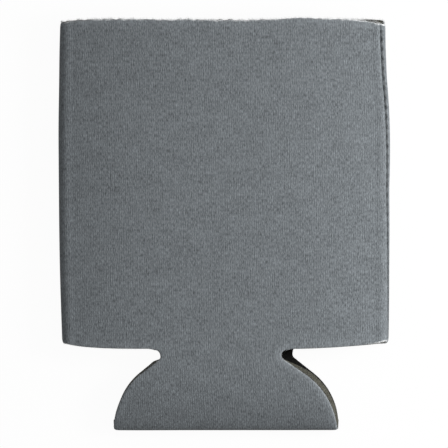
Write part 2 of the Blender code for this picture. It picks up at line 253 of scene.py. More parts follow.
class SleeveForm:
    """Turns places on the flat sheet into places on the folded sleeve."""

    def __init__(self, sizes: SleeveSizes, steps: MeshSteps) -> None:
        """Keep the sizes and work out the outline of the base.

        Args:
            sizes: The sleeve's sizes.
            steps: How finely to divide it.
        """
        self.sizes = sizes
        self.steps = steps
        self.notch = Vector((sizes.neck_width / 2 + sizes.notch_radius, sizes.hem_y - sizes.notch_radius))
        self.corner = Vector((sizes.base_width / 2 - sizes.base_corner_radius, sizes.fold_y))
        between = self.notch - self.corner
        radii = sizes.notch_radius + sizes.base_corner_radius
        line_angle = math.atan2(between.y, between.x) + math.asin(radii / between.length)
        normal = Vector((math.sin(line_angle), -math.cos(line_angle)))
        self.line_top = self.notch - sizes.notch_radius * normal
        self.line_bottom = self.corner + sizes.base_corner_radius * normal

    def half_width(self, share: float) -> float:
        """Half the body's width: share is 0 at the hem and 1 at the mouth."""
        sizes = self.sizes
        end_width = sizes.mouth_width if share > 0.5 else sizes.hem_width
        from_middle = abs(share - 0.5) / 0.5
        return (sizes.middle_width - (sizes.middle_width - end_width) * from_middle**2) / 2

    def panel_run(self, share: float) -> float:
        """Half the width of the flat part of a panel."""
        return self.half_width(share) - self.sizes.side_reach

    def pocket_gap(self, run_share: float) -> float:
        """Space between the panels, at a share of the way from the middle to a side bend."""
        raised = 1 - min(abs(run_share), 1.0) ** self.sizes.panel_power
        return mix(self.sizes.seam_gap, self.sizes.pocket_gap, raised)

    def seam_angle(self, share: float, side: Side) -> float:
        """Where the seam lies on the side bend: above its middle on the right, below it on the left."""
        sizes = self.sizes
        return side.value * mix(sizes.hem_seam_angle, sizes.mouth_seam_angle, share**sizes.seam_ease)

    def bend_reach(self, angle: float) -> float:
        """Distance from the middle of a side bend to its outer face."""
        power = self.sizes.bend_power
        across = abs(math.cos(angle)) / self.sizes.side_reach
        upright = abs(math.sin(angle)) / self.sizes.side_height
        return (across**power + upright**power) ** (-1 / power)

    def bend_normal(self, angle: float) -> Vector:
        """The outward direction of the right side bend at an angle, as (x, z)."""
        power = self.sizes.bend_power
        across = abs(math.cos(angle)) ** (power - 1) / self.sizes.side_reach**power
        upright = abs(math.sin(angle)) ** (power - 1) / self.sizes.side_height**power
        return Vector((math.copysign(across, math.cos(angle)), math.copysign(upright, angle))).normalized()

    def bend_radius(self, angle: float) -> float:
        """Length of the outer side bend for each radian at an angle."""
        radial = Vector((math.cos(angle), math.sin(angle)))
        return self.bend_reach(angle) / self.bend_normal(angle).dot(radial)

    def bend_point(self, share: float, side: Side, angle: float, inset: float) -> tuple[float, float]:
        """A point on a side bend, or under it.

        Args:
            share: How far up the body it lies.
            side: Which side.
            angle: Its angle round the bend.
            inset: How far under the outer face it lies.

        Returns:
            Its x and z.
        """
        radial = Vector((math.cos(angle), math.sin(angle)))
        place = self.bend_reach(angle) * radial - inset * self.bend_normal(angle)
        return side.value * (self.panel_run(share) + place.x), self.sizes.side_height + place.y

    def crease_path(self, share: float, side: Side, panel: Panel) -> list[tuple[float, float]]:
        """Inner (x, z) points of one panel, round the side bend to its crease.

        Args:
            share: How far up the body they lie.
            side: Which side.
            panel: Which panel.

        Returns:
            The points, as many as bend_path gives.
        """
        sizes, facing = self.sizes, panel.value
        flat = facing * math.pi / 2
        lead = facing * self.seam_angle(share, side) + sizes.crease_lead
        crease = facing * min(lead, math.pi / 2)
        arc = abs(flat - crease) * sizes.seam_gap / 2
        count = self.steps.bend + self.steps.roll
        points = []
        for k in range(1, count + 1):
            along = (sizes.crease_room + arc) * k / count - sizes.crease_room
            angle = mix(flat, crease, max(along, 0.0) / arc) if arc else flat
            x = self.panel_run(share) + min(along, 0.0) + sizes.side_bend * math.cos(angle)
            z = sizes.side_height + sizes.seam_gap / 2 * math.sin(angle)
            points.append((side.value * x, z))
        return points

    def bend_path(self, share: float, side: Side, panel: Panel) -> list[tuple[float, float]]:
        """Outer (x, z) points of one panel, round the side bend and over the roll into the seam.

        Args:
            share: How far up the body they lie.
            side: Which side.
            panel: Which panel.

        Returns:
            The points, from the flat part on.
        """
        sizes, facing = self.sizes, panel.value
        seam = self.seam_angle(share, side)
        radius = self.bend_radius(seam)
        edge = seam + facing * sizes.seam_slit / 2 / radius
        roll_start = edge + facing * sizes.edge_roll / radius
        flat = facing * math.pi / 2
        points = []
        for k in range(1, self.steps.bend + 1):
            points.append(self.bend_point(share, side, mix(flat, roll_start, k / self.steps.bend), 0.0))
        for k in range(1, self.steps.roll + 1):
            turn = math.pi / 2 * k / self.steps.roll
            angle = edge + facing * sizes.edge_roll * (1 - math.sin(turn)) / radius
            points.append(self.bend_point(share, side, angle, sizes.edge_roll * (1 - math.cos(turn))))
        return points

    def seam_columns(self, share: float, side: Side, panel: Panel) -> list[tuple]:
        """Outer and inner (x, z) pairs of one panel, from its flat part to its turned edge.

        Args:
            share: How far up the body they lie.
            side: Which side.
            panel: Which panel.

        Returns:
            The pairs.
        """
        sizes, run = self.sizes, self.panel_run(share)
        outer_z = sizes.side_height + panel.value * sizes.seam_slit / 2
        inner_z = sizes.side_height + panel.value * (sizes.seam_gap / 2 - sizes.crease_gap)
        outer, inner = self.bend_path(share, side, panel), self.crease_path(share, side, panel)
        pairs = list(zip(outer, inner, strict=True))
        for k in range(self.steps.turned + 1):
            outer_x = mix(run, run - sizes.turned_edge, k / self.steps.turned)
            inner_x = mix(run - sizes.crease_room / 2, run - sizes.turned_edge, k / self.steps.turned)
            pairs.append(((side.value * outer_x, outer_z), (side.value * inner_x, inner_z)))
        return pairs

    def strap_centre(self, y: float, panel: Panel) -> float:
        """Where the middle of a panel's neck or base lies at a height, across the sleeve."""
        sizes = self.sizes
        drop = (y - sizes.fold_y) / (sizes.hem_y - sizes.fold_y)
        return mix(sizes.fold_centre[panel], sizes.neck_centre[panel], drop)

    def strap_shares(self) -> list[float]:
        """Places across the neck and the base, from -1 to 1, closest together at the edges."""
        zone = self.steps.strap_zone
        left = crowded(-1.0, zone - 1.0, self.steps.strap_edge)
        middle = [mix(zone - 1, 1 - zone, k / self.steps.strap) for k in range(1, self.steps.strap)]
        return left + middle + [-place for place in reversed(left)]

    def panel_places(self, run: float, centre: float) -> list[float]:
        """Places across a panel, the strap's own places among them.

        Args:
            run: Half the width of the panel's flat part.
            centre: Where the strap's middle lies.

        Returns:
            The places, from left to right.
        """
        flare = self.sizes.neck_width / 2 + self.sizes.notch_radius
        count = self.steps.side
        left = [mix(-run, centre - flare, k / count) for k in range(count)]
        strap = [centre + flare * place for place in self.strap_shares()]
        right = [mix(centre + flare, run, (k + 1) / count) for k in range(count)]
        return left + strap + right

    def drawn(self, share: float, x: float, z: float) -> float:
        """How far the seams pull a point along the sleeve.

        Args:
            share: How far up the body it lies.
            x: Its place across.
            z: Its height.

        Returns:
            The distance, towards the mouth.
        """
        sizes = self.sizes
        side = Side.LEFT if x < 0 else Side.RIGHT
        front = min(max(z / (2 * sizes.side_height), 0.0), 1.0)
        reach = self.half_width(share)
        mouth = max(abs(x) - sizes.mouth_draw_start, 0.0) / (reach - sizes.mouth_draw_start)
        hem = max(abs(x) - sizes.hem_draw_start, 0.0) / (reach - sizes.hem_draw_start)
        raised = max(abs(x) - sizes.back_rise_reach, 0.0) / (reach - sizes.back_rise_reach)
        back = 1 - min(max((z - sizes.sheet) / sizes.seam_gap, 0.0), 1.0)
        ends = (side, Panel.BACK), (side, Panel.FRONT)
        down = mix(*(sizes.mouth_draw[end] for end in ends), front) * mouth**sizes.mouth_draw_power
        up = mix(*(sizes.hem_draw[end] for end in ends), front) * hem ** sizes.hem_draw_power[side]
        up += sizes.hem_corner_draw[side] * front * hem**sizes.hem_corner_power
        up += sizes.back_hem_rise * back * (1 - raised**2) + self.notch_lift(x, back)
        return up * (1 - share) ** 2 - down * share**2

    def notch_lift(self, x: float, back: float) -> float:
        """How far the hem has curved up from the top of the nearer notch, on the front or the back.

        Args:
            x: A place across.
            back: 0 on the front panel and 1 on the back one.

        Returns:
            The distance.
        """
        sizes = self.sizes
        centre = mix(sizes.neck_centre[Panel.FRONT], sizes.neck_centre[Panel.BACK], back) - sizes.lean
        beyond = abs(x - centre) - sizes.neck_width / 2 - sizes.notch_radius
        share = min(max(beyond / sizes.notch_lift_reach, 0.0), 1.0)
        return sizes.notch_lift * share * (2 - share)

    def strayed(self, share: float, x: float, z: float) -> float:
        """How far the mouth's cut edge strays from its line, most on the front panel.

        Args:
            share: How far up the body the point lies.
            x: Its place across.
            z: Its height.

        Returns:
            The distance, next to nothing away from the mouth.
        """
        sizes = self.sizes
        slow = noise.noise(Vector((x * sizes.stray_scale, z * sizes.stray_scale / 2, sizes.stray_seed)))
        quick = noise.noise(Vector((x * sizes.ragged_scale, z * sizes.stray_scale / 2, sizes.ragged_seed)))
        front = min(z / sizes.thickness, 1.0)
        stray = sizes.mouth_stray * (slow + sizes.ragged_share * quick)
        return (stray - sizes.mouth_slack * front) * share**sizes.stray_power

    def swelled(self, share: float, x: float) -> float:
        """How far a point moves with the right edge, which stands out below the mouth and at its corner.

        Args:
            share: How far up the body it lies.
            x: Its place across.

        Returns:
            The distance, none on the left half.
        """
        sizes = self.sizes
        swell = max(1 - ((share - sizes.swell_share) / sizes.swell_reach) ** 2, 0.0)
        flare = max(share - sizes.flare_share, 0.0) / (1 - sizes.flare_share)
        reach = sizes.right_swell * swell + sizes.corner_flare * flare
        return reach * max(x, 0.0) / self.half_width(share)

    def placed(self, share: float, point: tuple[float, float]) -> Vector:
        """The 3-D point of a body row's (x, z)."""
        x, z = point
        y = mix(self.sizes.hem_y, self.sizes.mouth_y, share)
        y += self.drawn(share, x, z) + self.strayed(share, x, z)
        return Vector((x + self.swelled(share, x) + self.sizes.lean * (1 - 2 * share), y, z))

    def body_row(self, share: float, panel: Panel, cloth_y: float) -> list[Station]:
        """Stations of one panel at one height, from its left seam to its right.

        Args:
            share: The row's height, 0 at the hem and 1 at the mouth.
            panel: Which panel.
            cloth_y: The row's place along the flat cloth.

        Returns:
            The row's stations.
        """
        sizes = self.sizes
        centre = sizes.neck_centre[panel] - sizes.lean
        run, base_run = self.panel_run(share), self.panel_run(0)
        outer = self.panel_places(base_run, centre)
        inner = self.panel_places(base_run - sizes.crease_room, centre)
        middle = []
        for outer_place, inner_place in zip(outer, inner, strict=True):
            inner_z = sizes.sheet
            outer_z = 0.0
            if panel is Panel.FRONT:
                inner_z += self.pocket_gap(outer_place / base_run)
                outer_z = inner_z + sizes.sheet
            stretch = run / base_run
            middle.append(((outer_place * stretch, outer_z), (inner_place * stretch, inner_z)))
        left = self.seam_columns(share, Side.LEFT, panel)
        right = self.seam_columns(share, Side.RIGHT, panel)
        pairs = [*reversed(left), *middle, *right]
        first, last = len(left), len(left) + len(middle) - 1
        across = [0.0] * len(pairs)
        for k in range(first, last + 1):
            across[k] = pairs[k][0][0] - centre
        for k in range(last + 1, len(pairs)):
            across[k] = across[k - 1] + math.dist(pairs[k][0], pairs[k - 1][0])
        for k in range(first - 1, -1, -1):
            across[k] = across[k + 1] - math.dist(pairs[k][0], pairs[k + 1][0])
        return [
            Station(self.placed(share, outer), self.placed(share, inner), (place, cloth_y))
            for (outer, inner), place in zip(pairs, across, strict=True)
        ]

    def base_half(self, y: float) -> float:
        """Half the width of the neck and the base at a height.

        Args:
            y: The height.

        Returns:
            Half the width, round the notch, down the straight and round the corner.
        """
        sizes = self.sizes
        if y >= self.line_top.y:
            depth = sizes.notch_radius**2 - (y - self.notch.y) ** 2
            return self.notch.x - math.sqrt(max(depth, 0.0))
        if y >= self.line_bottom.y:
            share = (self.line_top.y - y) / (self.line_top.y - self.line_bottom.y)
            return mix(self.line_top.x, self.line_bottom.x, share)
        return self.corner.x + math.sqrt(sizes.base_corner_radius**2 - (y - sizes.fold_y) ** 2)

    def base_heights(self) -> list[float]:
        """Heights of the rows from just under the hem to where the inner fold begins."""
        sizes, steps = self.sizes, self.steps
        end = math.asin((self.line_top.y - self.notch.y) / sizes.notch_radius)
        turns = [mix(math.pi / 2, end, k / steps.notch) for k in range(1, steps.notch + 1)]
        notch = [self.notch.y + sizes.notch_radius * math.sin(turn) for turn in turns]
        top, bottom = self.line_top.y, self.line_bottom.y
        slope = [mix(top, bottom, k / steps.slope) for k in range(1, steps.slope + 1)]
        low = [mix(bottom, sizes.inner_fold_y, k / steps.tip) for k in range(1, steps.tip + 1)]
        return notch + slope + low

    def base_gap(self, x: float, y: float) -> float:
        """Space between the two halves of the base.

        Args:
            x: A place across.
            y: A height.

        Returns:
            The space, least at the fold.
        """
        sizes = self.sizes
        share = max(y - sizes.inner_fold_y, 0.0) / (sizes.hem_y - sizes.inner_fold_y)
        closing = 1 - (1 - share) ** sizes.base_power
        return mix(sizes.fold_gap, self.pocket_gap((x - sizes.lean) / self.panel_run(0)), closing)

    def tucked(self, y: float, place: float) -> float:
        """How far the front half of the base is drawn in at its left edge, less towards its middle.

        Args:
            y: A height.
            place: The share of the way from the middle to the edge, below 0 on the left.

        Returns:
            The distance.
        """
        sizes = self.sizes
        height = (y - sizes.fold_y) / (self.notch.y - sizes.notch_radius - sizes.fold_y)
        span = min(max(height / sizes.tuck_span, 0.0), 1.0)
        window = (1 - abs(2 * span - 1) ** sizes.tuck_power) * min(height / sizes.tuck_ease, 1.0)
        return sizes.left_tuck * window * max(-place, 0.0) ** 2

    def base_row(self, y: float, panel: Panel) -> list[tuple[Vector, Vector]]:
        """Outer and inner points across the neck or base at one height.

        Args:
            y: The height.
            panel: Which half.

        Returns:
            The pairs, from left to right.
        """
        sizes = self.sizes
        centre = self.strap_centre(y, panel)
        pairs = []
        for place in self.strap_shares():
            x = centre + self.base_half(y) * place
            if panel is Panel.BACK:
                drop = (y - sizes.fold_y) / (sizes.hem_y - sizes.fold_y)
                upper = max(y - self.notch.y, 0.0) / sizes.notch_radius
                high = y + sizes.back_lip_rise * drop**3
                high += (sizes.back_hem_rise - sizes.back_lip_rise) * upper
                pairs.append((Vector((x, high, 0.0)), Vector((x, high, sizes.sheet))))
            else:
                x += self.tucked(y, place)
                inner_z = sizes.sheet + self.base_gap(x, y)
                pairs.append((Vector((x, y, inner_z + sizes.sheet)), Vector((x, y, inner_z))))
        return pairs

    def corner_curve(self, start: Vector, corner: Vector, end: Vector) -> list[Vector]:
        """Points of a curve that leaves the start and reaches the end along the lines to a corner.

        Args:
            start: The first point, left out of the result.
            corner: Where the two lines meet.
            end: The last point.

        Returns:
            The points.
        """
        handles = [place.lerp(corner, self.sizes.fold_fullness) for place in (start, end)]
        points = []
        for k in range(1, self.steps.fold_corner + 1):
            t = k / self.steps.fold_corner
            point = (1 - t) ** 3 * start + t**3 * end
            points.append(point + 3 * t * (1 - t) * ((1 - t) * handles[0] + t * handles[1]))
        return points

    def fold_rows(self) -> list[list[tuple[Vector, Vector]]]:
        """Rows of outer and inner points that carry the base round its fold."""
        sizes = self.sizes
        top = 2 * sizes.sheet + sizes.fold_gap
        slope = sizes.base_power * (sizes.pocket_gap - sizes.fold_gap) / (sizes.hem_y - sizes.inner_fold_y)
        fall = min(slope * (sizes.inner_fold_y - sizes.fold_y), top - sizes.fold_nose)
        nose, under = Vector((sizes.fold_y, sizes.fold_nose)), Vector((sizes.fold_y + sizes.fold_under, 0.0))
        profile = self.corner_curve(
            Vector((sizes.inner_fold_y, top)), Vector((sizes.fold_y, top - fall)), nose
        )
        profile += self.corner_curve(nose, Vector((sizes.fold_y, 0.0)), under)
        ends = [self.strap_centre(sizes.inner_fold_y, panel) for panel in Panel]
        rows = []
        for k, (y, z) in enumerate(profile):
            share = (k + 1) / (len(profile) + 1)
            turn = math.pi / 2 + math.pi * share
            inner_y = sizes.inner_fold_y + sizes.fold_gap / 2 * math.cos(turn)
            inner_z = sizes.sheet + sizes.fold_gap / 2 * (1 + math.sin(turn))
            across = [
                mix(*ends, share) + self.base_half(y) * place + self.tucked(y, place) * (1 - share)
                for place in self.strap_shares()
            ]
            rows.append([(Vector((x, y, z)), Vector((x, inner_y, inner_z))) for x in across])
        return rows

    def seam_path(self, side: Side, depth: float, spacing: float) -> list[tuple[Vector, Vector, Vector]]:
        """Points along a seam's groove.

        Args:
            side: Which seam.
            depth: How deep under the side bend they lie.
            spacing: Distance between them.

        Returns:
            Each point, the direction from the back panel to the front one, and the way out.
        """
        sizes, margin = self.sizes, self.sizes.thread_margin
        bottom = sizes.hem_y + sizes.notch_lift + sizes.hem_draw[side, Panel.FRONT] + margin
        top = sizes.mouth_y - sizes.mouth_draw[side, Panel.FRONT] - margin
        count = round((top - bottom) / spacing)
        path = []
        for k in range(count + 1):
            y = mix(bottom, top, k / count)
            share = (y - sizes.hem_y) / sizes.body_height
            seam = self.seam_angle(share, side)
            x, z = self.bend_point(share, side, seam, depth)
            out = self.bend_normal(seam)
            outward = Vector((side.value * out.x, 0.0, out.y))
            across = Vector((-side.value * out.y, 0.0, out.x))
            x += self.swelled(share, x) + sizes.lean * (1 - 2 * share)
            path.append((Vector((x, y, z)), across, outward))
        return path


class SheetGrid:
    """The folded sheet as stations joined by quads, with each station's distance to a cut edge."""

    def __init__(self, form: SleeveForm) -> None:
        """Lay out the whole sheet.

        Args:
            form: The shape that the sheet is folded into.
        """
        self.form = form
        self.stations: list[Station] = []
        self.quads: list[tuple[int, int, int, int]] = []
        self.border: list[tuple[int, int]] = []
        self._lay_out()
        self._find_border()
        self.edge_distance = self._measure_edges()

    def _add_row(self, row: Iterable[Station]) -> list[int]:
        """Keep a row of stations and return their numbers."""
        start = len(self.stations)
        self.stations.extend(row)
        return list(range(start, len(self.stations)))

    def _join(self, low: Sequence[int], high: Sequence[int]) -> None:
        """Quads between two rows with as many stations each."""
        for k in range(len(low) - 1):
            self.quads.append((low[k], low[k + 1], high[k + 1], high[k]))

    def _body_shares(self) -> list[float]:
        """Heights of the body's rows, closest together at the mouth and the hem."""
        steps, height = self.form.steps, self.form.sizes.body_height
        zone = steps.edge_zone / height
        hem = crowded(0.0, zone, steps.edge_rows)
        middle = [mix(zone, 1 - zone, k / steps.body) for k in range(1, steps.body)]
        return hem + middle + [1 - share for share in reversed(hem)]

    def _lay_out(self) -> None:
        """Build the front panel, the strap round the fold and the back panel."""
        form = self.form
        height = form.sizes.body_height
        shares = self._body_shares()
        strap = [form.base_row(form.sizes.hem_y, Panel.FRONT)]
        strap += [form.base_row(y, Panel.FRONT) for y in form.base_heights()]
        strap += form.fold_rows()
        strap += [form.base_row(y, Panel.BACK) for y in reversed(form.base_heights())]
        strap.append(form.base_row(form.sizes.hem_y, Panel.BACK))
        middle = len(strap[0]) // 2
        along = [0.0]
        for above, below in zip(strap, strap[1:], strict=False):
            along.append(along[-1] - (above[middle][0] - below[middle][0]).length)

        rows: dict[Panel, list[list[int]]] = {}
        for panel in Panel:
            cloth = [
                share * height if panel is Panel.FRONT else along[-1] - share * height for share in shares
            ]
            rows[panel] = [
                self._add_row(form.body_row(share, panel, cloth_y))
                for share, cloth_y in zip(shares, cloth, strict=True)
            ]
        for low, high in zip(rows[Panel.FRONT], rows[Panel.FRONT][1:], strict=False):
            self._join(low, high)
        for low, high in zip(rows[Panel.BACK], rows[Panel.BACK][1:], strict=False):
            self._join(high, low)

        flare = form.sizes.neck_width / 2 + form.sizes.notch_radius
        places = form.strap_shares()
        first = (len(rows[Panel.FRONT][0]) - len(places)) // 2
        previous = rows[Panel.FRONT][0][first : first + len(places)]
        for pairs, cloth_y in zip(strap[1:-1], along[1:-1], strict=True):
            half = form.base_half(pairs[0][0].y) if pairs[0][0].y < form.sizes.hem_y else flare
            row = self._add_row(
                Station(outer, inner, (place * half, cloth_y))
                for (outer, inner), place in zip(pairs, places, strict=True)
            )
            self._join(row, previous)
            previous = row
        self._join(rows[Panel.BACK][0][first : first + len(places)], previous)

    def _find_border(self) -> None:
        """Keep each quad edge that no other quad shares."""
        seen: set[tuple[int, int]] = set()
        for quad in self.quads:
            for one, other in zip(quad, quad[1:] + quad[:1], strict=True):
                if (other, one) in seen:
                    seen.remove((other, one))
                else:
                    seen.add((one, other))
        self.border = sorted(seen)

    def _measure_edges(self) -> list[float]:
        """Distance of each station's outer point from the nearest cut edge."""
        samples = []
        for one, other in self.border:
            start, end = self.stations[one].outer, self.stations[other].outer
            count = max(1, math.ceil((end - start).length / self.form.steps.border_step))
            samples += [start.lerp(end, k / count) for k in range(count)]
        tree = kdtree.KDTree(len(samples))
        for number, point in enumerate(samples):
            tree.insert(point, number)
        tree.balance()
        return [tree.find(station.outer)[2] for station in self.stations]

    def outline(self) -> list[list[int]]:
        """The border's stations, in order, as closed loops."""
        onward = dict(self.border)
        loops = []
        while onward:
            start = next(iter(onward))
            loop, here = [start], onward.pop(start)
            while here != start:
                loop.append(here)
                here = onward.pop(here)
            loops.append(loop)
        return loops

    def ways_out(self) -> dict[int, Vector]:
        """At each border station, the direction that leads out of the sheet in its own plane."""
        inside: dict[int, list[Vector]] = {}
        for quad in self.quads:
            for k in range(4):
                inside.setdefault(quad[k], []).append(self.stations[quad[(k + 2) % 4]].outer)
        ways = {}
        for loop in self.outline():
            for before, here, after in zip(loop[-1:] + loop[:-1], loop, loop[1:] + loop[:1], strict=True):
                station = self.stations[here]
                tangent = self.stations[after].outer - self.stations[before].outer
                way = tangent.cross(station.inner - station.outer).normalized()
                middle = sum(inside[here], Vector()) / len(inside[here])
                ways[here] = way if way.dot(station.outer - middle) > 0 else -way
        return ways

    def layer(
        self,
        name: str,
        upper: Callable[[Vector, float, float], float],
        lower: Callable[[Vector, float, float], float],
        slant: Callable[[Vector], float],
        steps: int = 1,
    ) -> bpy.types.Object:
        """A closed layer of the sheet between two depths under its outer face.

        Args:
            name: The new object's name.
            upper: Depth of its outer face, from the point, the edge distance and the thickness.
            lower: Depth of its inner face, from the same.
            slant: How far its cut face slants out of the sheet, from the point.
            steps: The number of faces across the cut face.

        Returns:
            The object, with a "Cloth" UV map in millimetres and "edge_mm" and "cut_face" attributes.
        """
        count = len(self.stations)
        points: list[Vector] = []
        owners = list(range(count)) * 2
        cut = [0.0] * 2 * count
        for depth_of in (upper, lower):
            for station, distance in zip(self.stations, self.edge_distance, strict=True):
                through = station.inner - station.outer
                depth = depth_of(station.outer, distance, through.length)
                points.append(station.outer + through.normalized() * depth)
        faces = list(self.quads)
        faces += [tuple(corner + count for corner in reversed(quad)) for quad in self.quads]
        rungs: dict[int, list[int]] = {}
        for number, way in self.ways_out().items():
            rungs[number] = [number]
            for k in range(1, steps):
                share = k / steps
                bulge = slant(points[number]) * share**CUT_BULGE_POWER
                rungs[number].append(len(points))
                owners.append(number)
                cut.append(1.0)
                points.append(points[number].lerp(points[number + count], share) + way * bulge)
            rungs[number].append(number + count)
        for one, other in self.border:
            for k in range(steps):
                faces.append((rungs[other][k], rungs[one][k], rungs[one][k + 1], rungs[other][k + 1]))
        data = bpy.data.meshes.new(name)
        data.from_pydata(points, [], faces)
        layout = bmesh.new()
        layout.from_mesh(data)
        bmesh.ops.recalc_face_normals(layout, faces=layout.faces)
        cloth = layout.loops.layers.uv.new("Cloth")
        edge = layout.verts.layers.float.new("edge_mm")
        side = layout.verts.layers.float.new("cut_face")
        for vertex in layout.verts:
            number = owners[vertex.index]
            vertex[edge] = self.edge_distance[number] / MM
            vertex[side] = cut[vertex.index]
            for loop in vertex.link_loops:
                loop[cloth].uv = [place / MM for place in self.stations[number].cloth]
        layout.to_mesh(data)
        layout.free()
        data.shade_smooth()
        data.set_sharp_from_angle(angle=SHARP_ANGLE)
        return link(bpy.data.objects.new(name, data))


def link(item: bpy.types.Object) -> bpy.types.Object:
    """Put an object in the scene and return it."""
    bpy.context.scene.collection.objects.link(item)
    return item


class NodeKit:
    """A short way to add and join the nodes of one tree."""

    def __init__(self, tree: bpy.types.NodeTree) -> None:
        """Work on a tree.

        Args:
            tree: The shader or geometry tree to build.
        """
        self.tree = tree

    def add(self, kind: str, inputs: dict | None = None, **settings: object) -> bpy.types.Node:
        """Add a node.

        Args:
            kind: Its type, such as "ShaderNodeMath".
            inputs: A value or an output socket for each input, by name or number.
            **settings: Values for the node's own settings.

        Returns:
            The new node.
        """
        node = self.tree.nodes.new(kind)
        for name, value in settings.items():
            setattr(node, name, value)
        for name, value in (inputs or {}).items():
            if isinstance(value, bpy.types.NodeSocket):
                self.tree.links.new(value, node.inputs[name])
            else:
                node.inputs[name].default_value = value
        return node

    def math(self, operation: str, *values: object) -> bpy.types.NodeSocket:
        """The output of a Math node."""
        kind = "ShaderNodeMath"
        return self.add(kind, dict(enumerate(values)), operation=operation).outputs[0]

    def remap(
        self, value: object, low: float, high: float, new_low: float, new_high: float
    ) -> bpy.types.NodeSocket:
        """A value moved from one range to another and kept inside it."""
        inputs = {0: value, 1: low, 2: high, 3: new_low, 4: new_high}
        return self.add("ShaderNodeMapRange", inputs).outputs[0]

    def wave(self, phase: object) -> bpy.types.NodeSocket:
        """A cosine moved to lie between 0 and 1."""
        return self.remap(self.math("COSINE", phase), -1.0, 1.0, 0.0, 1.0)

    def blend(self, factor: object, one: Sequence[float], other: Sequence[float]) -> bpy.types.NodeSocket:
        """A colour between two, by a factor."""
        node = self.add("ShaderNodeMix", {"Factor": factor}, data_type="RGBA")
        node.inputs[6].default_value = one
        node.inputs[7].default_value = other
        return node.outputs[2]

    def attribute(self, name: str) -> bpy.types.NodeSocket:
        """The number that a mesh attribute gives to a material."""
        return self.add("ShaderNodeAttribute", attribute_name=name).outputs["Fac"]

    def noise(
        self, vector: object, scale: float, detail: float, roughness: float = 0.5
    ) -> bpy.types.NodeSocket:
        """The value of a Noise Texture at a vector."""
        inputs = {"Vector": vector, "Scale": scale, "Detail": detail, "Roughness": roughness}
        return self.add("ShaderNodeTexNoise", inputs).outputs[0]


def new_group(name: str, inputs: dict[str, tuple[str, object]], outputs: dict[str, str]) -> tuple:
    """An empty shader node group.

    Args:
        name: The group's name.
        inputs: Each input's socket type and usual value.
        outputs: Each output's socket type.

    Returns:
        Its tree, a kit for it, and its input and output nodes.
    """
    tree = bpy.data.node_groups.new(name, "ShaderNodeTree")
    for title, (kind, value) in inputs.items():
        socket = tree.interface.new_socket(title, in_out="INPUT", socket_type=kind)
        if value is not None:
            socket.default_value = value
    for title, kind in outputs.items():
        tree.interface.new_socket(title, in_out="OUTPUT", socket_type=kind)
    kit = NodeKit(tree)
    return tree, kit, kit.add("NodeGroupInput"), kit.add("NodeGroupOutput")


class Effects:
    """The shader node groups that finishes share, or that one finish uses twice."""

    def __init__(self) -> None:
        """Build each group once."""
        self.mottle = self._mottle()
        self.cut_rim = self._cut_rim()

    def _mottle(self) -> bpy.types.NodeTree:
        """Uneven shade of dyed fibre or foam: a factor round 1 at two scales."""
        tree, kit, entry, result = new_group(
            "Mottle",
            {
                "Vector": ("NodeSocketVector", None),
                "Broad Scale": ("NodeSocketFloat", 60.0),
                "Fine Scale": ("NodeSocketFloat", 700.0),
                "Amount": ("NodeSocketFloat", 0.1),
            },
            {"Shade": "NodeSocketFloat"},
        )
        broad = kit.add(
            "ShaderNodeTexNoise", {"Vector": entry.outputs["Vector"], "Scale": entry.outputs["Broad Scale"]}
        )
        fine = kit.add(
            "ShaderNodeTexNoise",
            {"Vector": entry.outputs["Vector"], "Scale": entry.outputs["Fine Scale"], "Detail": 3.0},
        )
        both = kit.math("ADD", broad.outputs[0], fine.outputs[0])
        centred = kit.math("SUBTRACT", both, 1.0)
        spread = kit.math("MULTIPLY", centred, entry.outputs["Amount"])
        shade = kit.math("ADD", spread, 1.0)
        tree.links.new(shade, result.inputs["Shade"])
        return tree

    def _cut_rim(self) -> bpy.types.NodeTree:
        """A ragged mask that is 1 at a cut edge and fades to 0 at its width, in millimetres."""
        tree, kit, entry, result = new_group(
            "Cut rim",
            {
                "Vector": ("NodeSocketVector", None),
                "Edge": ("NodeSocketFloat", 1.0),
                "Width": ("NodeSocketFloat", 0.5),
                "Ragged": ("NodeSocketFloat", 0.4),
            },
            {"Mask": "NodeSocketFloat"},
        )
        wander = kit.math("SUBTRACT", kit.noise(entry.outputs["Vector"], 1600.0, 2.0), 0.5)
        shift = kit.math("MULTIPLY", wander, entry.outputs["Ragged"])
        moved = kit.math("ADD", entry.outputs["Edge"], shift)
        share = kit.math("DIVIDE", moved, entry.outputs["Width"])
        mask = kit.math("SUBTRACT", 1.0, share)
        clamped = kit.math("MINIMUM", kit.math("MAXIMUM", mask, 0.0), 1.0)
        tree.links.new(clamped, result.inputs["Mask"])
        return tree


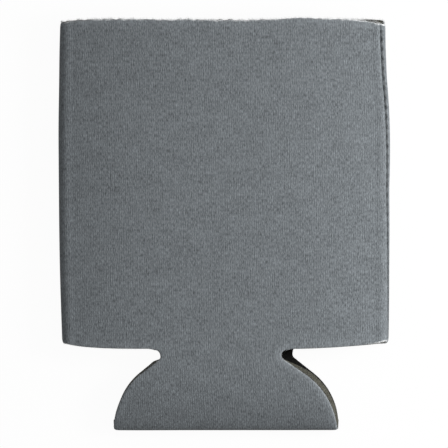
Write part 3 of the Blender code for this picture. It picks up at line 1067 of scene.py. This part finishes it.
class Finish:
    def __init__(self, name: str, roughness: float, sheen: float = 0.0) -> None:
        """Start a Principled material.

        Args:
            name: The material's name.
            roughness: The shader's roughness.
            sheen: The shader's sheen weight.
        """
        self.material = bpy.data.materials.new(name)
        self.material.use_nodes = True
        self.kit = NodeKit(self.material.node_tree)
        self.shader = self.material.node_tree.nodes["Principled BSDF"]
        self.shader.inputs["Roughness"].default_value = roughness
        self.shader.inputs["Sheen Weight"].default_value = sheen
        self.shader.inputs["Sheen Roughness"].default_value = 0.5
        self.shader.inputs["Specular IOR Level"].default_value = 0.25

    def group(self, tree: bpy.types.NodeTree, inputs: dict) -> bpy.types.Node:
        """Place a node group with its own values."""
        return self.kit.add("ShaderNodeGroup", inputs, node_tree=tree)

    def object_place(self) -> bpy.types.NodeSocket:
        """Object coordinates."""
        return self.kit.add("ShaderNodeTexCoord").outputs["Object"]

    def paint(self, colour: object, factor: object = None) -> None:
        """Join a colour, times a factor, to the shader."""
        if factor is not None:
            scaled = self.kit.add(
                "ShaderNodeVectorMath", {0: colour, "Scale": factor}, operation="SCALE"
            )
            colour = scaled.outputs[0]
        self.material.node_tree.links.new(colour, self.shader.inputs["Base Color"])

    def relief(self, height: bpy.types.NodeSocket, distance: float, strength: float) -> None:
        """Join a height to the shader's normal through a Bump node."""
        bump = self.kit.add("ShaderNodeBump", {"Height": height, "Distance": distance, "Strength": strength})
        self.material.node_tree.links.new(bump.outputs[0], self.shader.inputs["Normal"])


@dataclass(frozen=True)
class KnitFinish:
    """Cool grey warp knit: fine wales along the sleeve, with lighter fibres at its cut edges, and a painted
    highlight added to them along the mouth and at the right corners.
    """

    colour: tuple[float, float, float, float] = (0.150, 0.165, 0.176, 1.0)
    # Light colour of the cut fibres, which along the mouth and at the right corners also paints a highlight.
    fibre_highlight_colour: tuple[float, float, float, float] = (0.86, 0.87, 0.87, 1.0)
    mouth_y: float = 63.4 * MM
    fray_highlight_reach: float = 5.0 * MM
    mouth_rim: float = 0.75
    fleck_scale: float = 280.0
    least_fleck: float = 0.2
    plain_rim: float = 0.11
    corner_x: float = 50.0 * MM
    corner_reach: float = 6.0 * MM
    corner_heights: tuple[float, float] = (4.5 * MM, 6.0 * MM)
    wale_mm: float = 0.68
    course_mm: float = 0.55
    wale_contrast: float = 0.13
    speckle_contrast: float = 1.75
    streak_contrast: float = 0.75
    relief_mm: float = 0.07
    relief_strength: float = 0.8
    relief_weights: tuple[float, float, float] = (0.28, 0.4, 1.2)
    wander_scale: float = 0.08
    wander_mm: float = 0.9
    loop_lift: float = 0.6
    patch_scale: float = 0.24
    patch_range: tuple[float, float] = (0.4, 0.62)
    least_patch: float = 0.15
    speckle_grain: tuple[float, float] = (0.32, 0.95)
    streak_grain: tuple[float, float] = (0.55, 3.2)
    mottle_scales: tuple[float, float] = (230.0, 900.0)
    mottle_amount: float = 0.34
    fleck_range: tuple[float, float] = (0.46, 0.6)
    brushed_mm: float = 2.8
    brushed_ragged: float = 0.8
    brushed_light: float = 0.16
    rim_mm: float = 0.5
    rim_ragged: float = 0.5

    def build(self, effects: Effects) -> bpy.types.Material:
        """The knit's material."""
        finish = Finish("grey_knit", roughness=0.9, sheen=0.08)
        kit = finish.kit
        cloth = kit.add("ShaderNodeUVMap", uv_map="Cloth").outputs[0]
        place = finish.object_place()
        split = kit.add("ShaderNodeSeparateXYZ", {0: cloth})
        wander = kit.math("SUBTRACT", kit.noise(cloth, self.wander_scale, 1.0), 0.5)
        across = kit.math("ADD", split.outputs[0], kit.math("MULTIPLY", wander, self.wander_mm))
        wale_phase = kit.math("MULTIPLY", across, 2 * math.pi / self.wale_mm)
        wale = kit.wave(wale_phase)
        lift = kit.math("ABSOLUTE", kit.math("SINE", kit.math("MULTIPLY", wale_phase, 0.5)))
        along = kit.math("ADD", split.outputs[1], kit.math("MULTIPLY", lift, self.course_mm * self.loop_lift))
        course_phase = kit.math("MULTIPLY", along, 2 * math.pi / self.course_mm)
        course = kit.wave(course_phase)
        patch = kit.remap(kit.noise(cloth, self.patch_scale, 1.0), *self.patch_range, self.least_patch, 1.0)
        speckle = self.stretched(kit, split, *self.speckle_grain, 1.0)
        streak = self.stretched(kit, split, *self.streak_grain, 2.0)
        loops = kit.math("MULTIPLY", course, wale)
        height: object = 0.0
        for part, weight in zip((wale, loops, speckle), self.relief_weights, strict=True):
            height = kit.math("ADD", height, kit.math("MULTIPLY", part, weight))
        ribs = kit.math("MULTIPLY", kit.math("SUBTRACT", wale, 0.5), patch)
        shade = kit.math("MULTIPLY", ribs, self.wale_contrast)
        shade = kit.math("ADD", shade, kit.math("MULTIPLY", speckle, self.speckle_contrast))
        shade = kit.math("ADD", shade, kit.math("MULTIPLY", streak, self.streak_contrast))
        broad, fine = self.mottle_scales
        mottle = finish.group(
            effects.mottle,
            {"Vector": place, "Broad Scale": broad, "Fine Scale": fine, "Amount": self.mottle_amount},
        )
        shade = kit.math("ADD", mottle.outputs["Shade"], shade)
        edge = kit.attribute("edge_mm")
        at_edge = {"Vector": place, "Edge": edge}
        brushed = finish.group(
            effects.cut_rim, {**at_edge, "Width": self.brushed_mm, "Ragged": self.brushed_ragged}
        )
        lighter = kit.math("MULTIPLY", brushed.outputs["Mask"], self.brushed_light)
        shade = kit.math("ADD", shade, lighter)
        rim = finish.group(effects.cut_rim, {**at_edge, "Width": self.rim_mm, "Ragged": self.rim_ragged})
        spot = kit.add("ShaderNodeSeparateXYZ", {0: place}).outputs
        # The cut rim is painted towards the light colour: a little along every cut edge for the lighter
        # fibres, and far more along the mouth and at the right corners, where it is also a painted highlight
        # on edges that face the lamps.
        mouth_start, corner_start = self.mouth_y - self.fray_highlight_reach, self.corner_x - self.corner_reach
        fray_and_highlight = kit.remap(spot[1], mouth_start, self.mouth_y, self.plain_rim, self.mouth_rim)
        fleck = kit.remap(kit.noise(place, self.fleck_scale, 1.0), *self.fleck_range, self.least_fleck, 1.0)
        fray_and_highlight = kit.math("MULTIPLY", fray_and_highlight, fleck)
        corner = kit.remap(spot[0], corner_start, self.corner_x, 0.0, 1.0)
        corner = kit.math("MULTIPLY", corner, kit.remap(spot[2], *self.corner_heights, 0.0, 1.0))
        lightened = kit.math("MULTIPLY", rim.outputs["Mask"], kit.math("MAXIMUM", fray_and_highlight, corner))
        finish.paint(kit.blend(lightened, self.colour, self.fibre_highlight_colour), shade)
        finish.relief(height, self.relief_mm * MM, self.relief_strength)
        return finish.material

    def stretched(
        self, kit: NodeKit, split: bpy.types.Node, width: float, length: float, detail: float
    ) -> bpy.types.NodeSocket:
        """Noise round 0 whose grains have a width and a length on the cloth, in millimetres.

        Args:
            split: The node that splits the cloth's place.
            width: The grains' width.
            length: Their length.
            detail: How many finer scales are added.

        Returns:
            The noise.
        """
        grain = kit.add(
            "ShaderNodeCombineXYZ",
            {0: kit.math("DIVIDE", split.outputs[0], width), 1: kit.math("DIVIDE", split.outputs[1], length)},
        ).outputs[0]
        return kit.math("SUBTRACT", kit.noise(grain, 1.0, detail, 0.6), 0.5)


@dataclass(frozen=True)
class FoamFinish:
    """Dark open-cell foam: olive on its cut face, and painted near black on its open face as the shade inside
    the sleeve.
    """

    cut: tuple[float, float, float, float] = (0.095, 0.093, 0.074, 1.0)
    # Painted shade: the open face is far darker than the cut face, standing in for the shadow that falls
    # inside the sleeve.
    open: tuple[float, float, float, float] = (0.010, 0.010, 0.009, 1.0)
    pore_shade: float = 0.25
    cell_scale: float = 2600.0
    wall_range: tuple[float, float] = (0.15, 0.75)
    mottle_scales: tuple[float, float] = (420.0, 1500.0)
    relief_mm: float = 0.12
    relief_strength: float = 0.7

    def build(self, effects: Effects) -> bpy.types.Material:
        """The foam's material."""
        finish = Finish("black_foam", roughness=0.95)
        kit = finish.kit
        place = finish.object_place()
        cells = kit.add("ShaderNodeTexVoronoi", {"Vector": place, "Scale": self.cell_scale})
        wall = kit.remap(cells.outputs["Distance"], *self.wall_range, 0.0, 1.0)
        broad, fine = self.mottle_scales
        mottle = finish.group(
            effects.mottle, {"Vector": place, "Broad Scale": broad, "Fine Scale": fine, "Amount": 1.0}
        )
        # Painted shade: open faces take the near-black colour, cut faces the foam's olive.
        colour = kit.blend(kit.attribute("cut_face"), self.open, self.cut)
        shade = kit.math("MULTIPLY", kit.remap(wall, 0.0, 1.0, self.pore_shade, 1.0), mottle.outputs["Shade"])
        finish.paint(colour, shade)
        finish.relief(wall, self.relief_mm * MM, self.relief_strength)
        return finish.material


@dataclass(frozen=True)
class ThreadFinish:
    """Matte grey polyester sewing thread, and the loose fibres of the knit."""

    name: str
    colour: tuple[float, float, float, float]

    def build(self, effects: Effects) -> bpy.types.Material:
        """The thread's material."""
        finish = Finish(self.name, roughness=0.7, sheen=0.2)
        kit = finish.kit
        mottle = finish.group(
            effects.mottle,
            {"Vector": finish.object_place(), "Broad Scale": 300.0, "Fine Scale": 2500.0, "Amount": 0.5},
        )
        tint = kit.add("ShaderNodeRGB").outputs[0]
        tint.default_value = self.colour
        finish.paint(tint, mottle.outputs["Shade"])
        return finish.material


class GeometryTree:
    """A Geometry Nodes tree, and the steps that turn its result into a plain mesh."""

    def __init__(self, name: str, inputs: dict[str, tuple[str, object]]) -> None:
        """Start a tree.

        Args:
            name: The tree's name.
            inputs: Each named input's socket type and value.
        """
        self.tree = bpy.data.node_groups.new(name, "GeometryNodeTree")
        self.values: dict[str, object] = {}
        face = self.tree.interface
        face.new_socket("Geometry", in_out="INPUT", socket_type="NodeSocketGeometry")
        for title, (kind, value) in inputs.items():
            socket = face.new_socket(title, in_out="INPUT", socket_type=kind)
            self.values[socket.identifier] = value
        face.new_socket("Geometry", in_out="OUTPUT", socket_type="NodeSocketGeometry")
        self.kit = NodeKit(self.tree)
        self.entry = self.kit.add("NodeGroupInput")
        self.result = self.kit.add("NodeGroupOutput")

    def attribute(self, name: str) -> bpy.types.NodeSocket:
        """A named vector attribute of the path."""
        node = self.kit.add("GeometryNodeInputNamedAttribute", {"Name": name}, data_type="FLOAT_VECTOR")
        return node.outputs[0]

    def scaled(self, vector: object, factor: object) -> bpy.types.NodeSocket:
        """A vector times a number."""
        inputs = {0: vector, "Scale": factor}
        return self.kit.add("ShaderNodeVectorMath", inputs, operation="SCALE").outputs[0]

    def sum(self, *vectors: object) -> bpy.types.NodeSocket:
        """The sum of some vectors."""
        total = vectors[0]
        for vector in vectors[1:]:
            total = self.kit.add("ShaderNodeVectorMath", {0: total, 1: vector}, operation="ADD").outputs[0]
        return total

    def close(self, geometry: bpy.types.NodeSocket) -> None:
        """End the tree in Realize Instances and Set Material."""
        real = self.kit.add("GeometryNodeRealizeInstances", {0: geometry})
        smooth = self.kit.add("GeometryNodeSetShadeSmooth", {"Geometry": real.outputs[0]})
        painted = self.kit.add(
            "GeometryNodeSetMaterial",
            {"Geometry": smooth.outputs[0], "Material": self.entry.outputs["Material"]},
        )
        self.tree.links.new(painted.outputs[0], self.result.inputs[0])

    def grow(self, name: str, guide: bpy.types.Object) -> bpy.types.Object:
        """Run the tree on a guide and keep the result as a plain mesh.

        Args:
            name: The new object's name.
            guide: The object that the tree starts from, which is removed.

        Returns:
            The new object.
        """
        modifier = guide.modifiers.new(self.tree.name, "NODES")
        modifier.node_group = self.tree
        for identifier, value in self.values.items():
            modifier[identifier] = value
        evaluated = guide.evaluated_get(bpy.context.evaluated_depsgraph_get())
        data = bpy.data.meshes.new_from_object(evaluated)
        data.name = name
        bpy.data.objects.remove(guide)
        return link(bpy.data.objects.new(name, data))


def guide_path(name: str, runs: Sequence[Sequence[tuple]], titles: Sequence[str]) -> bpy.types.Object:
    """A mesh of open lines whose points carry vector attributes.

    Args:
        name: The guide's name.
        runs: For each line, its points, each with its vectors after it.
        titles: The attributes' names.

    Returns:
        The guide.
    """
    points = [item for run in runs for item in run]
    lines, start = [], 0
    for run in runs:
        lines += [(start + k, start + k + 1) for k in range(len(run) - 1)]
        start += len(run)
    data = bpy.data.meshes.new(name)
    data.from_pydata([item[0] for item in points], lines, [])
    for number, title in enumerate(titles, 1):
        layer = data.attributes.new(title, "FLOAT_VECTOR", "POINT")
        layer.data.foreach_set("vector", [value for item in points for value in item[number]])
    return link(bpy.data.objects.new(name, data))


@dataclass(frozen=True)
class SleeveCloth:
    """The laminated sheet: its knit face and the foam under it."""

    grid: SheetGrid
    knit: float = 0.45 * MM
    pinch: float = 0.2 * MM
    pinch_reach: float = 1.6 * MM
    cut_round: float = 0.5 * MM
    wave: float = 0.10 * MM
    wave_scale: float = 55.0
    most_knit: float = 0.25
    round_share: float = 0.45
    foam_tuck: float = 0.05 * MM
    plain_slant: float = 0.05 * MM
    least_flank: float = 0.6
    slant_floor: float = 0.8 * MM
    slant_start: float = 2.8 * MM
    slant_ease: float = 4.6 * MM
    left_slants: tuple[float, float] = (0.85 * MM, 0.05 * MM)
    left_slant_reach: float = 14.0 * MM
    left_slant_ease: float = 1.2 * MM

    def sunk(self, point: Vector, distance: float, through: float) -> float:
        """How deep the knit's face lies, where the die pressed the edge and the foam is uneven.

        Args:
            point: A place on the sheet's outer face.
            distance: How far it is from a cut edge.
            through: The sheet's thickness there.

        Returns:
            The depth.
        """
        pressed = max(1 - distance / self.pinch_reach, 0.0) ** 2 * self.pinch
        uneven = self.wave * noise.noise(point * self.wave_scale)
        slack = min(through / self.grid.form.sizes.sheet, 1.0)
        return (pressed + uneven) * slack

    def knit_depth(self, through: float) -> float:
        """The knit's thickness, less where the sheet is squeezed."""
        return min(self.knit, self.most_knit * through)

    def knit_upper(self, point: Vector, distance: float, through: float) -> float:
        """Depth of the knit's face."""
        rounded = max(1 - distance / self.cut_round, 0.0) ** 2 * self.round_share
        return self.sunk(point, distance, through) + rounded * self.knit_depth(through)

    def knit_lower(self, point: Vector, distance: float, through: float) -> float:
        """Depth of the knit's back."""
        return self.sunk(point, distance, through) + self.knit_depth(through)

    def foam_upper(self, point: Vector, distance: float, through: float) -> float:
        """Depth of the foam's bonded face, just inside the knit."""
        return self.knit_lower(point, distance, through) - self.foam_tuck

    def foam_lower(self, point: Vector, distance: float, through: float) -> float:
        """Depth of the foam's open face."""
        return through

    def foam_slant(self, point: Vector) -> float:
        """How far the foam's cut face slants out past the knit.

        On the base's left the slant fades towards the fold. On its right it reaches towards the back half.

        Args:
            point: A place on the foam's bonded face.

        Returns:
            The slant in metres, the same small one everywhere above the base.
        """
        form = self.grid.form
        sizes = form.sizes
        below = sizes.hem_y - self.slant_start - point.y
        if below < 0:
            return self.plain_slant
        front = min(max((point.z - self.slant_floor) / sizes.sheet, 0.0), 1.0)
        if point.x < 0:
            slant = mix(*self.left_slants, min(below / self.left_slant_reach, 1.0))
            return self.plain_slant + slant * min(below / self.left_slant_ease, 1.0) * front
        apart = form.strap_centre(point.y, Panel.BACK) - form.strap_centre(point.y, Panel.FRONT)
        rise = max(point.y - sizes.fold_y, 0.0) / sizes.base_corner_radius
        flank = math.sqrt(max(1 - rise**2, self.least_flank**2))
        ease = min(below / self.slant_ease, 1.0) * front
        return self.plain_slant + apart * flank * ease

    def build(self, knit: bpy.types.Material, foam: bpy.types.Material) -> list[bpy.types.Object]:
        """Args:
            knit: The knit's material.
            foam: The foam's material.

        Returns:
            The knit face and the foam.
        """
        face = self.grid.layer("knit_face", self.knit_upper, self.knit_lower, lambda point: 0.0)
        steps = self.grid.form.steps.cut_face
        core = self.grid.layer("foam_core", self.foam_upper, self.foam_lower, self.foam_slant, steps)
        for piece, material in ((face, knit), (core, foam)):
            piece.data.materials.append(material)
            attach(piece, "root")
            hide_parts("sleeve")
        return [face, core]


@dataclass(frozen=True)
class SeamThread:
    """The two-ply sewing thread of one side seam."""

    form: SleeveForm
    side: Side
    pitch: float = 3.0 * MM
    swing: float = 0.25 * MM
    ply_radius: float = 0.11 * MM
    twist_length: float = 1.1 * MM
    clearance: float = 0.3 * MM
    cad_radius: float = 0.2 * MM
    spacing: float = 0.12 * MM
    profile_points: int = 6

    def depth(self) -> float:
        """How deep the thread lies, to clear both rolled edges of the seam."""
        sizes = self.form.sizes
        reach = sizes.edge_roll + self.clearance + self.cad_radius
        across = sizes.edge_roll + sizes.seam_slit / 2 - self.swing
        return sizes.edge_roll - math.sqrt(reach**2 - across**2)

    def tree(self, material: bpy.types.Material) -> GeometryTree:
        """Nodes that swing two twisted plies from one side of the seam to the other."""
        tree = GeometryTree(
            "Two-ply stitching",
            {
                "Stitch Pitch": ("NodeSocketFloat", self.pitch),
                "Swing": ("NodeSocketFloat", self.swing),
                "Ply Radius": ("NodeSocketFloat", self.ply_radius),
                "Twist Length": ("NodeSocketFloat", self.twist_length),
                "Material": ("NodeSocketMaterial", material),
            },
        )
        kit, entry = tree.kit, tree.entry.outputs
        curve = kit.add("GeometryNodeMeshToCurve", {"Mesh": entry["Geometry"]}).outputs[0]
        length = kit.add("GeometryNodeSplineParameter").outputs["Length"]
        turns = kit.math("DIVIDE", length, entry["Stitch Pitch"])
        phase = kit.math("MULTIPLY", turns, 2 * math.pi)
        sway = kit.math("MULTIPLY", kit.math("SINE", phase), entry["Swing"])
        twist = kit.math("MULTIPLY", kit.math("DIVIDE", length, entry["Twist Length"]), 2 * math.pi)
        join = kit.add("GeometryNodeJoinGeometry")
        for start in (0.0, math.pi):
            angle = kit.math("ADD", twist, start)
            across = kit.math("MULTIPLY", kit.math("COSINE", angle), entry["Ply Radius"])
            out = kit.math("MULTIPLY", kit.math("SINE", angle), entry["Ply Radius"])
            offset = tree.sum(
                tree.scaled(tree.attribute("across"), kit.math("ADD", sway, across)),
                tree.scaled(tree.attribute("outward"), out),
            )
            ply = kit.add("GeometryNodeSetPosition", {"Geometry": curve, "Offset": offset})
            profile = kit.add(
                "GeometryNodeCurvePrimitiveCircle",
                {"Resolution": self.profile_points, "Radius": entry["Ply Radius"]},
            )
            swept = kit.add(
                "GeometryNodeCurveToMesh",
                {"Curve": ply.outputs[0], "Profile Curve": profile.outputs[0], "Fill Caps": True},
            )
            tree.tree.links.new(swept.outputs[0], join.inputs[0])
        tree.close(join.outputs[0])
        return tree

    def build(self, material: bpy.types.Material) -> bpy.types.Object:
        """Make the thread and put it in the place of its CAD solid.

        Args:
            material: The thread's material.

        Returns:
            The thread.
        """
        word = self.side.name.lower()
        path = self.form.seam_path(self.side, self.depth(), self.spacing)
        guide = guide_path(f"seam_guide_{word}", [path], ("across", "outward"))
        thread = self.tree(material).grow(f"stitching_{word}", guide)
        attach(thread, "root")
        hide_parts(f"seam_thread_{word}")
        return thread


@dataclass(frozen=True)
class CutFibres:
    """Loose fibres that stand out of the knit's cut edges."""

    grid: SheetGrid
    face: bpy.types.Object
    spacing: float = 0.16 * MM
    length: float = 0.7 * MM
    radius: float = 0.025 * MM
    plain_size: float = 0.5
    mouth_reach: float = 4.0 * MM
    root_share: float = 0.4
    jitter: float = 0.9
    lifts: tuple[float, float] = (-0.2, 0.9)
    lengths: tuple[float, float] = (0.25, 1.0)
    bend_share: float = 0.3
    seed: int = 11

    def runs(self) -> list[list[tuple[Vector, Vector, Vector, Vector]]]:
        """The cut edges as lines of points: the way out of the sheet, the way up and the fibres' size."""
        count = len(self.grid.stations)
        places = [vertex.co for vertex in self.face.data.vertices]
        ways = self.grid.ways_out()
        runs = []
        for loop in self.grid.outline():
            run = []
            for number in [*loop, loop[0]]:
                upper, lower = places[number], places[number + count]
                place = upper.lerp(lower, self.root_share)
                at_mouth = place.y > self.grid.form.sizes.mouth_y - self.mouth_reach
                size = 1.0 if at_mouth else self.plain_size
                run.append((place, ways[number], (upper - lower).normalized(), Vector((size, size, size))))
            runs.append(run)
        return runs

    def chance(self, tree: GeometryTree, step: int, span: tuple[float, float]) -> bpy.types.NodeSocket:
        """A random number in a span for each fibre, from the seed and a step beyond it."""
        seed = tree.kit.math("ADD", tree.entry.outputs["Seed"], step)
        inputs = {2: span[0], 3: span[1], "Seed": seed}
        return tree.kit.add("FunctionNodeRandomValue", inputs, data_type="FLOAT").outputs[1]

    def tree(self, material: bpy.types.Material) -> GeometryTree:
        """Nodes that stand one bent fibre at each place along a cut edge."""
        tree = GeometryTree(
            "Cut fibres",
            {
                "Spacing": ("NodeSocketFloat", self.spacing),
                "Length": ("NodeSocketFloat", self.length),
                "Radius": ("NodeSocketFloat", self.radius),
                "Seed": ("NodeSocketInt", self.seed),
                "Material": ("NodeSocketMaterial", material),
            },
        )
        kit, entry = tree.kit, tree.entry.outputs
        curve = kit.add("GeometryNodeMeshToCurve", {"Mesh": entry["Geometry"]}).outputs[0]
        points = kit.add(
            "GeometryNodeCurveToPoints", {"Curve": curve, "Length": entry["Spacing"]}, mode="LENGTH"
        )
        jitter = kit.add(
            "FunctionNodeRandomValue",
            {0: (-self.jitter,) * 3, 1: (self.jitter,) * 3, "Seed": entry["Seed"]},
            data_type="FLOAT_VECTOR",
        ).outputs[0]
        lift = self.chance(tree, 1, self.lifts)
        heading = tree.sum(
            tree.attribute("outward"), jitter, tree.scaled(tree.attribute("up"), lift)
        )
        turn = kit.add("FunctionNodeAlignRotationToVector", {"Vector": heading}, axis="Z").outputs[0]
        size = self.chance(tree, 2, self.lengths)
        scale = tree.scaled(tree.attribute("fray"), size)
        bow = kit.add("GeometryNodeCurveQuadraticBezier", {"Resolution": 3, "Start": (0, 0, 0)})
        bend = kit.math("MULTIPLY", entry["Length"], self.bend_share)
        middle = kit.add("ShaderNodeCombineXYZ", {0: bend, 2: kit.math("MULTIPLY", entry["Length"], 0.5)})
        tip = kit.add("ShaderNodeCombineXYZ", {0: 0.0, 2: entry["Length"]})
        tree.tree.links.new(middle.outputs[0], bow.inputs["Middle"])
        tree.tree.links.new(tip.outputs[0], bow.inputs["End"])
        profile = kit.add("GeometryNodeCurvePrimitiveCircle", {"Resolution": 3, "Radius": entry["Radius"]})
        fibre = kit.add(
            "GeometryNodeCurveToMesh",
            {"Curve": bow.outputs[0], "Profile Curve": profile.outputs[0], "Fill Caps": True},
        )
        placed = kit.add(
            "GeometryNodeInstanceOnPoints",
            {"Points": points.outputs[0], "Instance": fibre.outputs[0], "Rotation": turn, "Scale": scale},
        )
        tree.close(placed.outputs[0])
        return tree

    def build(self, material: bpy.types.Material) -> bpy.types.Object:
        """Make the fibres.

        Args:
            material: The fibres' material.

        Returns:
            All of them as one piece.
        """
        guide = guide_path("cut_edge_guide", self.runs(), ("outward", "up", "fray"))
        fibres = self.tree(material).grow("cut_fibres", guide)
        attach(fibres, "root")
        return fibres


@dataclass(frozen=True)
class Studio:
    """The white table, the lamps and the camera."""

    distance: float = 3.0
    view_width: float = 137.92 * MM
    centre: tuple[float, float] = (0.02 * MM, 0.24 * MM)
    sensor: float = 36.0
    key_place: tuple[float, float, float] = (0.25, 0.03, 0.20)
    key_power: float = 0.80
    key_size: float = 0.10
    ambient_left: float = 0.22
    ambient_right: float = 0.82
    ambient_below: float = 0.3
    below_start: float = -0.5
    glint_place: tuple[float, float, float] = (0.45, 0.05, 0.07)
    glint_power: float = 0.45
    glint_size: float = 0.05
    floor_grey: float = 0.12
    floor_glow: float = 0.96
    floor_white: float = 0.85
    floor_reach: float = 3.0
    floor_level: float = -0.2 * MM

    def camera(self, height: float) -> bpy.types.Object:
        """A long lens straight above the sleeve.

        Args:
            height: Height of the plane whose width fills the view.

        Returns:
            The scene's camera.
        """
        data = bpy.data.cameras.new("camera")
        data.sensor_width = self.sensor
        data.lens = self.sensor * self.distance / self.view_width
        camera = link(bpy.data.objects.new("camera", data))
        camera.location = (*self.centre, height + self.distance)
        bpy.context.scene.camera = camera
        return camera

    def lamp(
        self, name: str, place: tuple[float, float, float], size: float, power: float
    ) -> bpy.types.Object:
        """A square soft lamp that faces the sleeve.

        Args:
            name: The lamp's name.
            place: Where it hangs.
            size: The length of its side.
            power: Its power in watts.

        Returns:
            The lamp.
        """
        data = bpy.data.lights.new(name, "AREA")
        data.energy = power
        data.size = size
        lamp = link(bpy.data.objects.new(name, data))
        lamp.location = place
        lamp.rotation_mode = "QUATERNION"
        lamp.rotation_quaternion = (-Vector(place)).to_track_quat("-Z", "Y")
        return lamp

    def seen_by_eye(self, kit: NodeKit) -> bpy.types.NodeSocket:
        """1 for rays that should meet a white background, else 0."""
        path = kit.add("ShaderNodeLightPath").outputs
        seen = kit.math("MAXIMUM", path["Is Camera Ray"], path["Is Glossy Ray"])
        return kit.math("MAXIMUM", seen, path["Is Transmission Ray"])

    def world(self) -> None:
        """White to the eye, and a soft light on the object, strong from the right and weak from the base."""
        world = bpy.data.worlds.new("studio")
        world.use_nodes = True
        bpy.context.scene.world = world
        kit = NodeKit(world.node_tree)
        background = world.node_tree.nodes["Background"]
        toward = kit.add("ShaderNodeSeparateXYZ", {0: kit.add("ShaderNodeTexCoord").outputs["Generated"]})
        side = kit.remap(toward.outputs[0], -1.0, 1.0, self.ambient_left, self.ambient_right)
        below = kit.remap(toward.outputs[1], -1.0, self.below_start, self.ambient_below, 1.0)
        soft = kit.math("MULTIPLY", side, below)
        white = kit.math("SUBTRACT", 1.0, soft)
        strength = kit.math("ADD", soft, kit.math("MULTIPLY", white, self.seen_by_eye(kit)))
        world.node_tree.links.new(strength, background.inputs["Strength"])
        background.inputs["Color"].default_value = (1.0, 1.0, 1.0, 1.0)

    def floor(self) -> bpy.types.Object:
        """The table that the sleeve lies on, white to the eye and keeping a faint shadow."""
        data = bpy.data.meshes.new("table")
        signs = ((-1, -1), (1, -1), (1, 1), (-1, 1))
        corners = [(x * self.floor_reach, y * self.floor_reach, self.floor_level) for x, y in signs]
        data.from_pydata(corners, [], [(0, 1, 2, 3)])
        table = link(bpy.data.objects.new("table", data))
        material = bpy.data.materials.new("table_white")
        material.use_nodes = True
        tree = material.node_tree
        kit = NodeKit(tree)
        shader = tree.nodes["Principled BSDF"]
        shader.inputs["Roughness"].default_value = 0.9
        seen = self.seen_by_eye(kit)
        tone = kit.remap(seen, 0.0, 1.0, self.floor_grey, self.floor_white)
        tree.links.new(tone, shader.inputs["Base Color"])
        glow = kit.add("ShaderNodeEmission", {"Color": (1.0, 1.0, 1.0, 1.0), "Strength": 1.0})
        share = kit.math("MULTIPLY", seen, self.floor_glow)
        blend = kit.add("ShaderNodeMixShader", {0: share, 1: shader.outputs[0], 2: glow.outputs[0]})
        tree.links.new(blend.outputs[0], tree.nodes["Material Output"].inputs["Surface"])
        data.materials.append(material)
        return table

    def build(self, height: float) -> None:
        """Set up the whole studio round the sleeve."""
        self.camera(height)
        self.lamp("key_lamp", self.key_place, self.key_size, self.key_power)
        self.lamp("glint_lamp", self.glint_place, self.glint_size, self.glint_power)
        self.world()
        self.floor()
        bpy.context.scene.view_settings.view_transform = "Standard"


def main() -> None:
    """Build the studio and each piece of the sleeve, in order."""
    logging.basicConfig(level=logging.INFO, format="%(message)s")
    sizes = SleeveSizes.from_box(*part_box("sleeve"))
    Studio().build(sizes.thickness)
    effects = Effects()
    form = SleeveForm(sizes, MeshSteps())
    grid = SheetGrid(form)
    knit, foam = KnitFinish(mouth_y=sizes.mouth_y).build(effects), FoamFinish().build(effects)
    pieces = SleeveCloth(grid).build(knit, foam)
    thread = ThreadFinish("sewing_thread", (0.135, 0.145, 0.152, 1.0)).build(effects)
    pieces += [SeamThread(form, side).build(thread) for side in Side]
    fibre = ThreadFinish("knit_fibre", (0.58, 0.59, 0.59, 1.0)).build(effects)
    pieces.append(CutFibres(grid, pieces[0]).build(fibre))
    for piece in pieces:
        LOG.info("%s: %d faces", piece.name, len(piece.data.polygons))


if __name__ == "__main__":
    main()
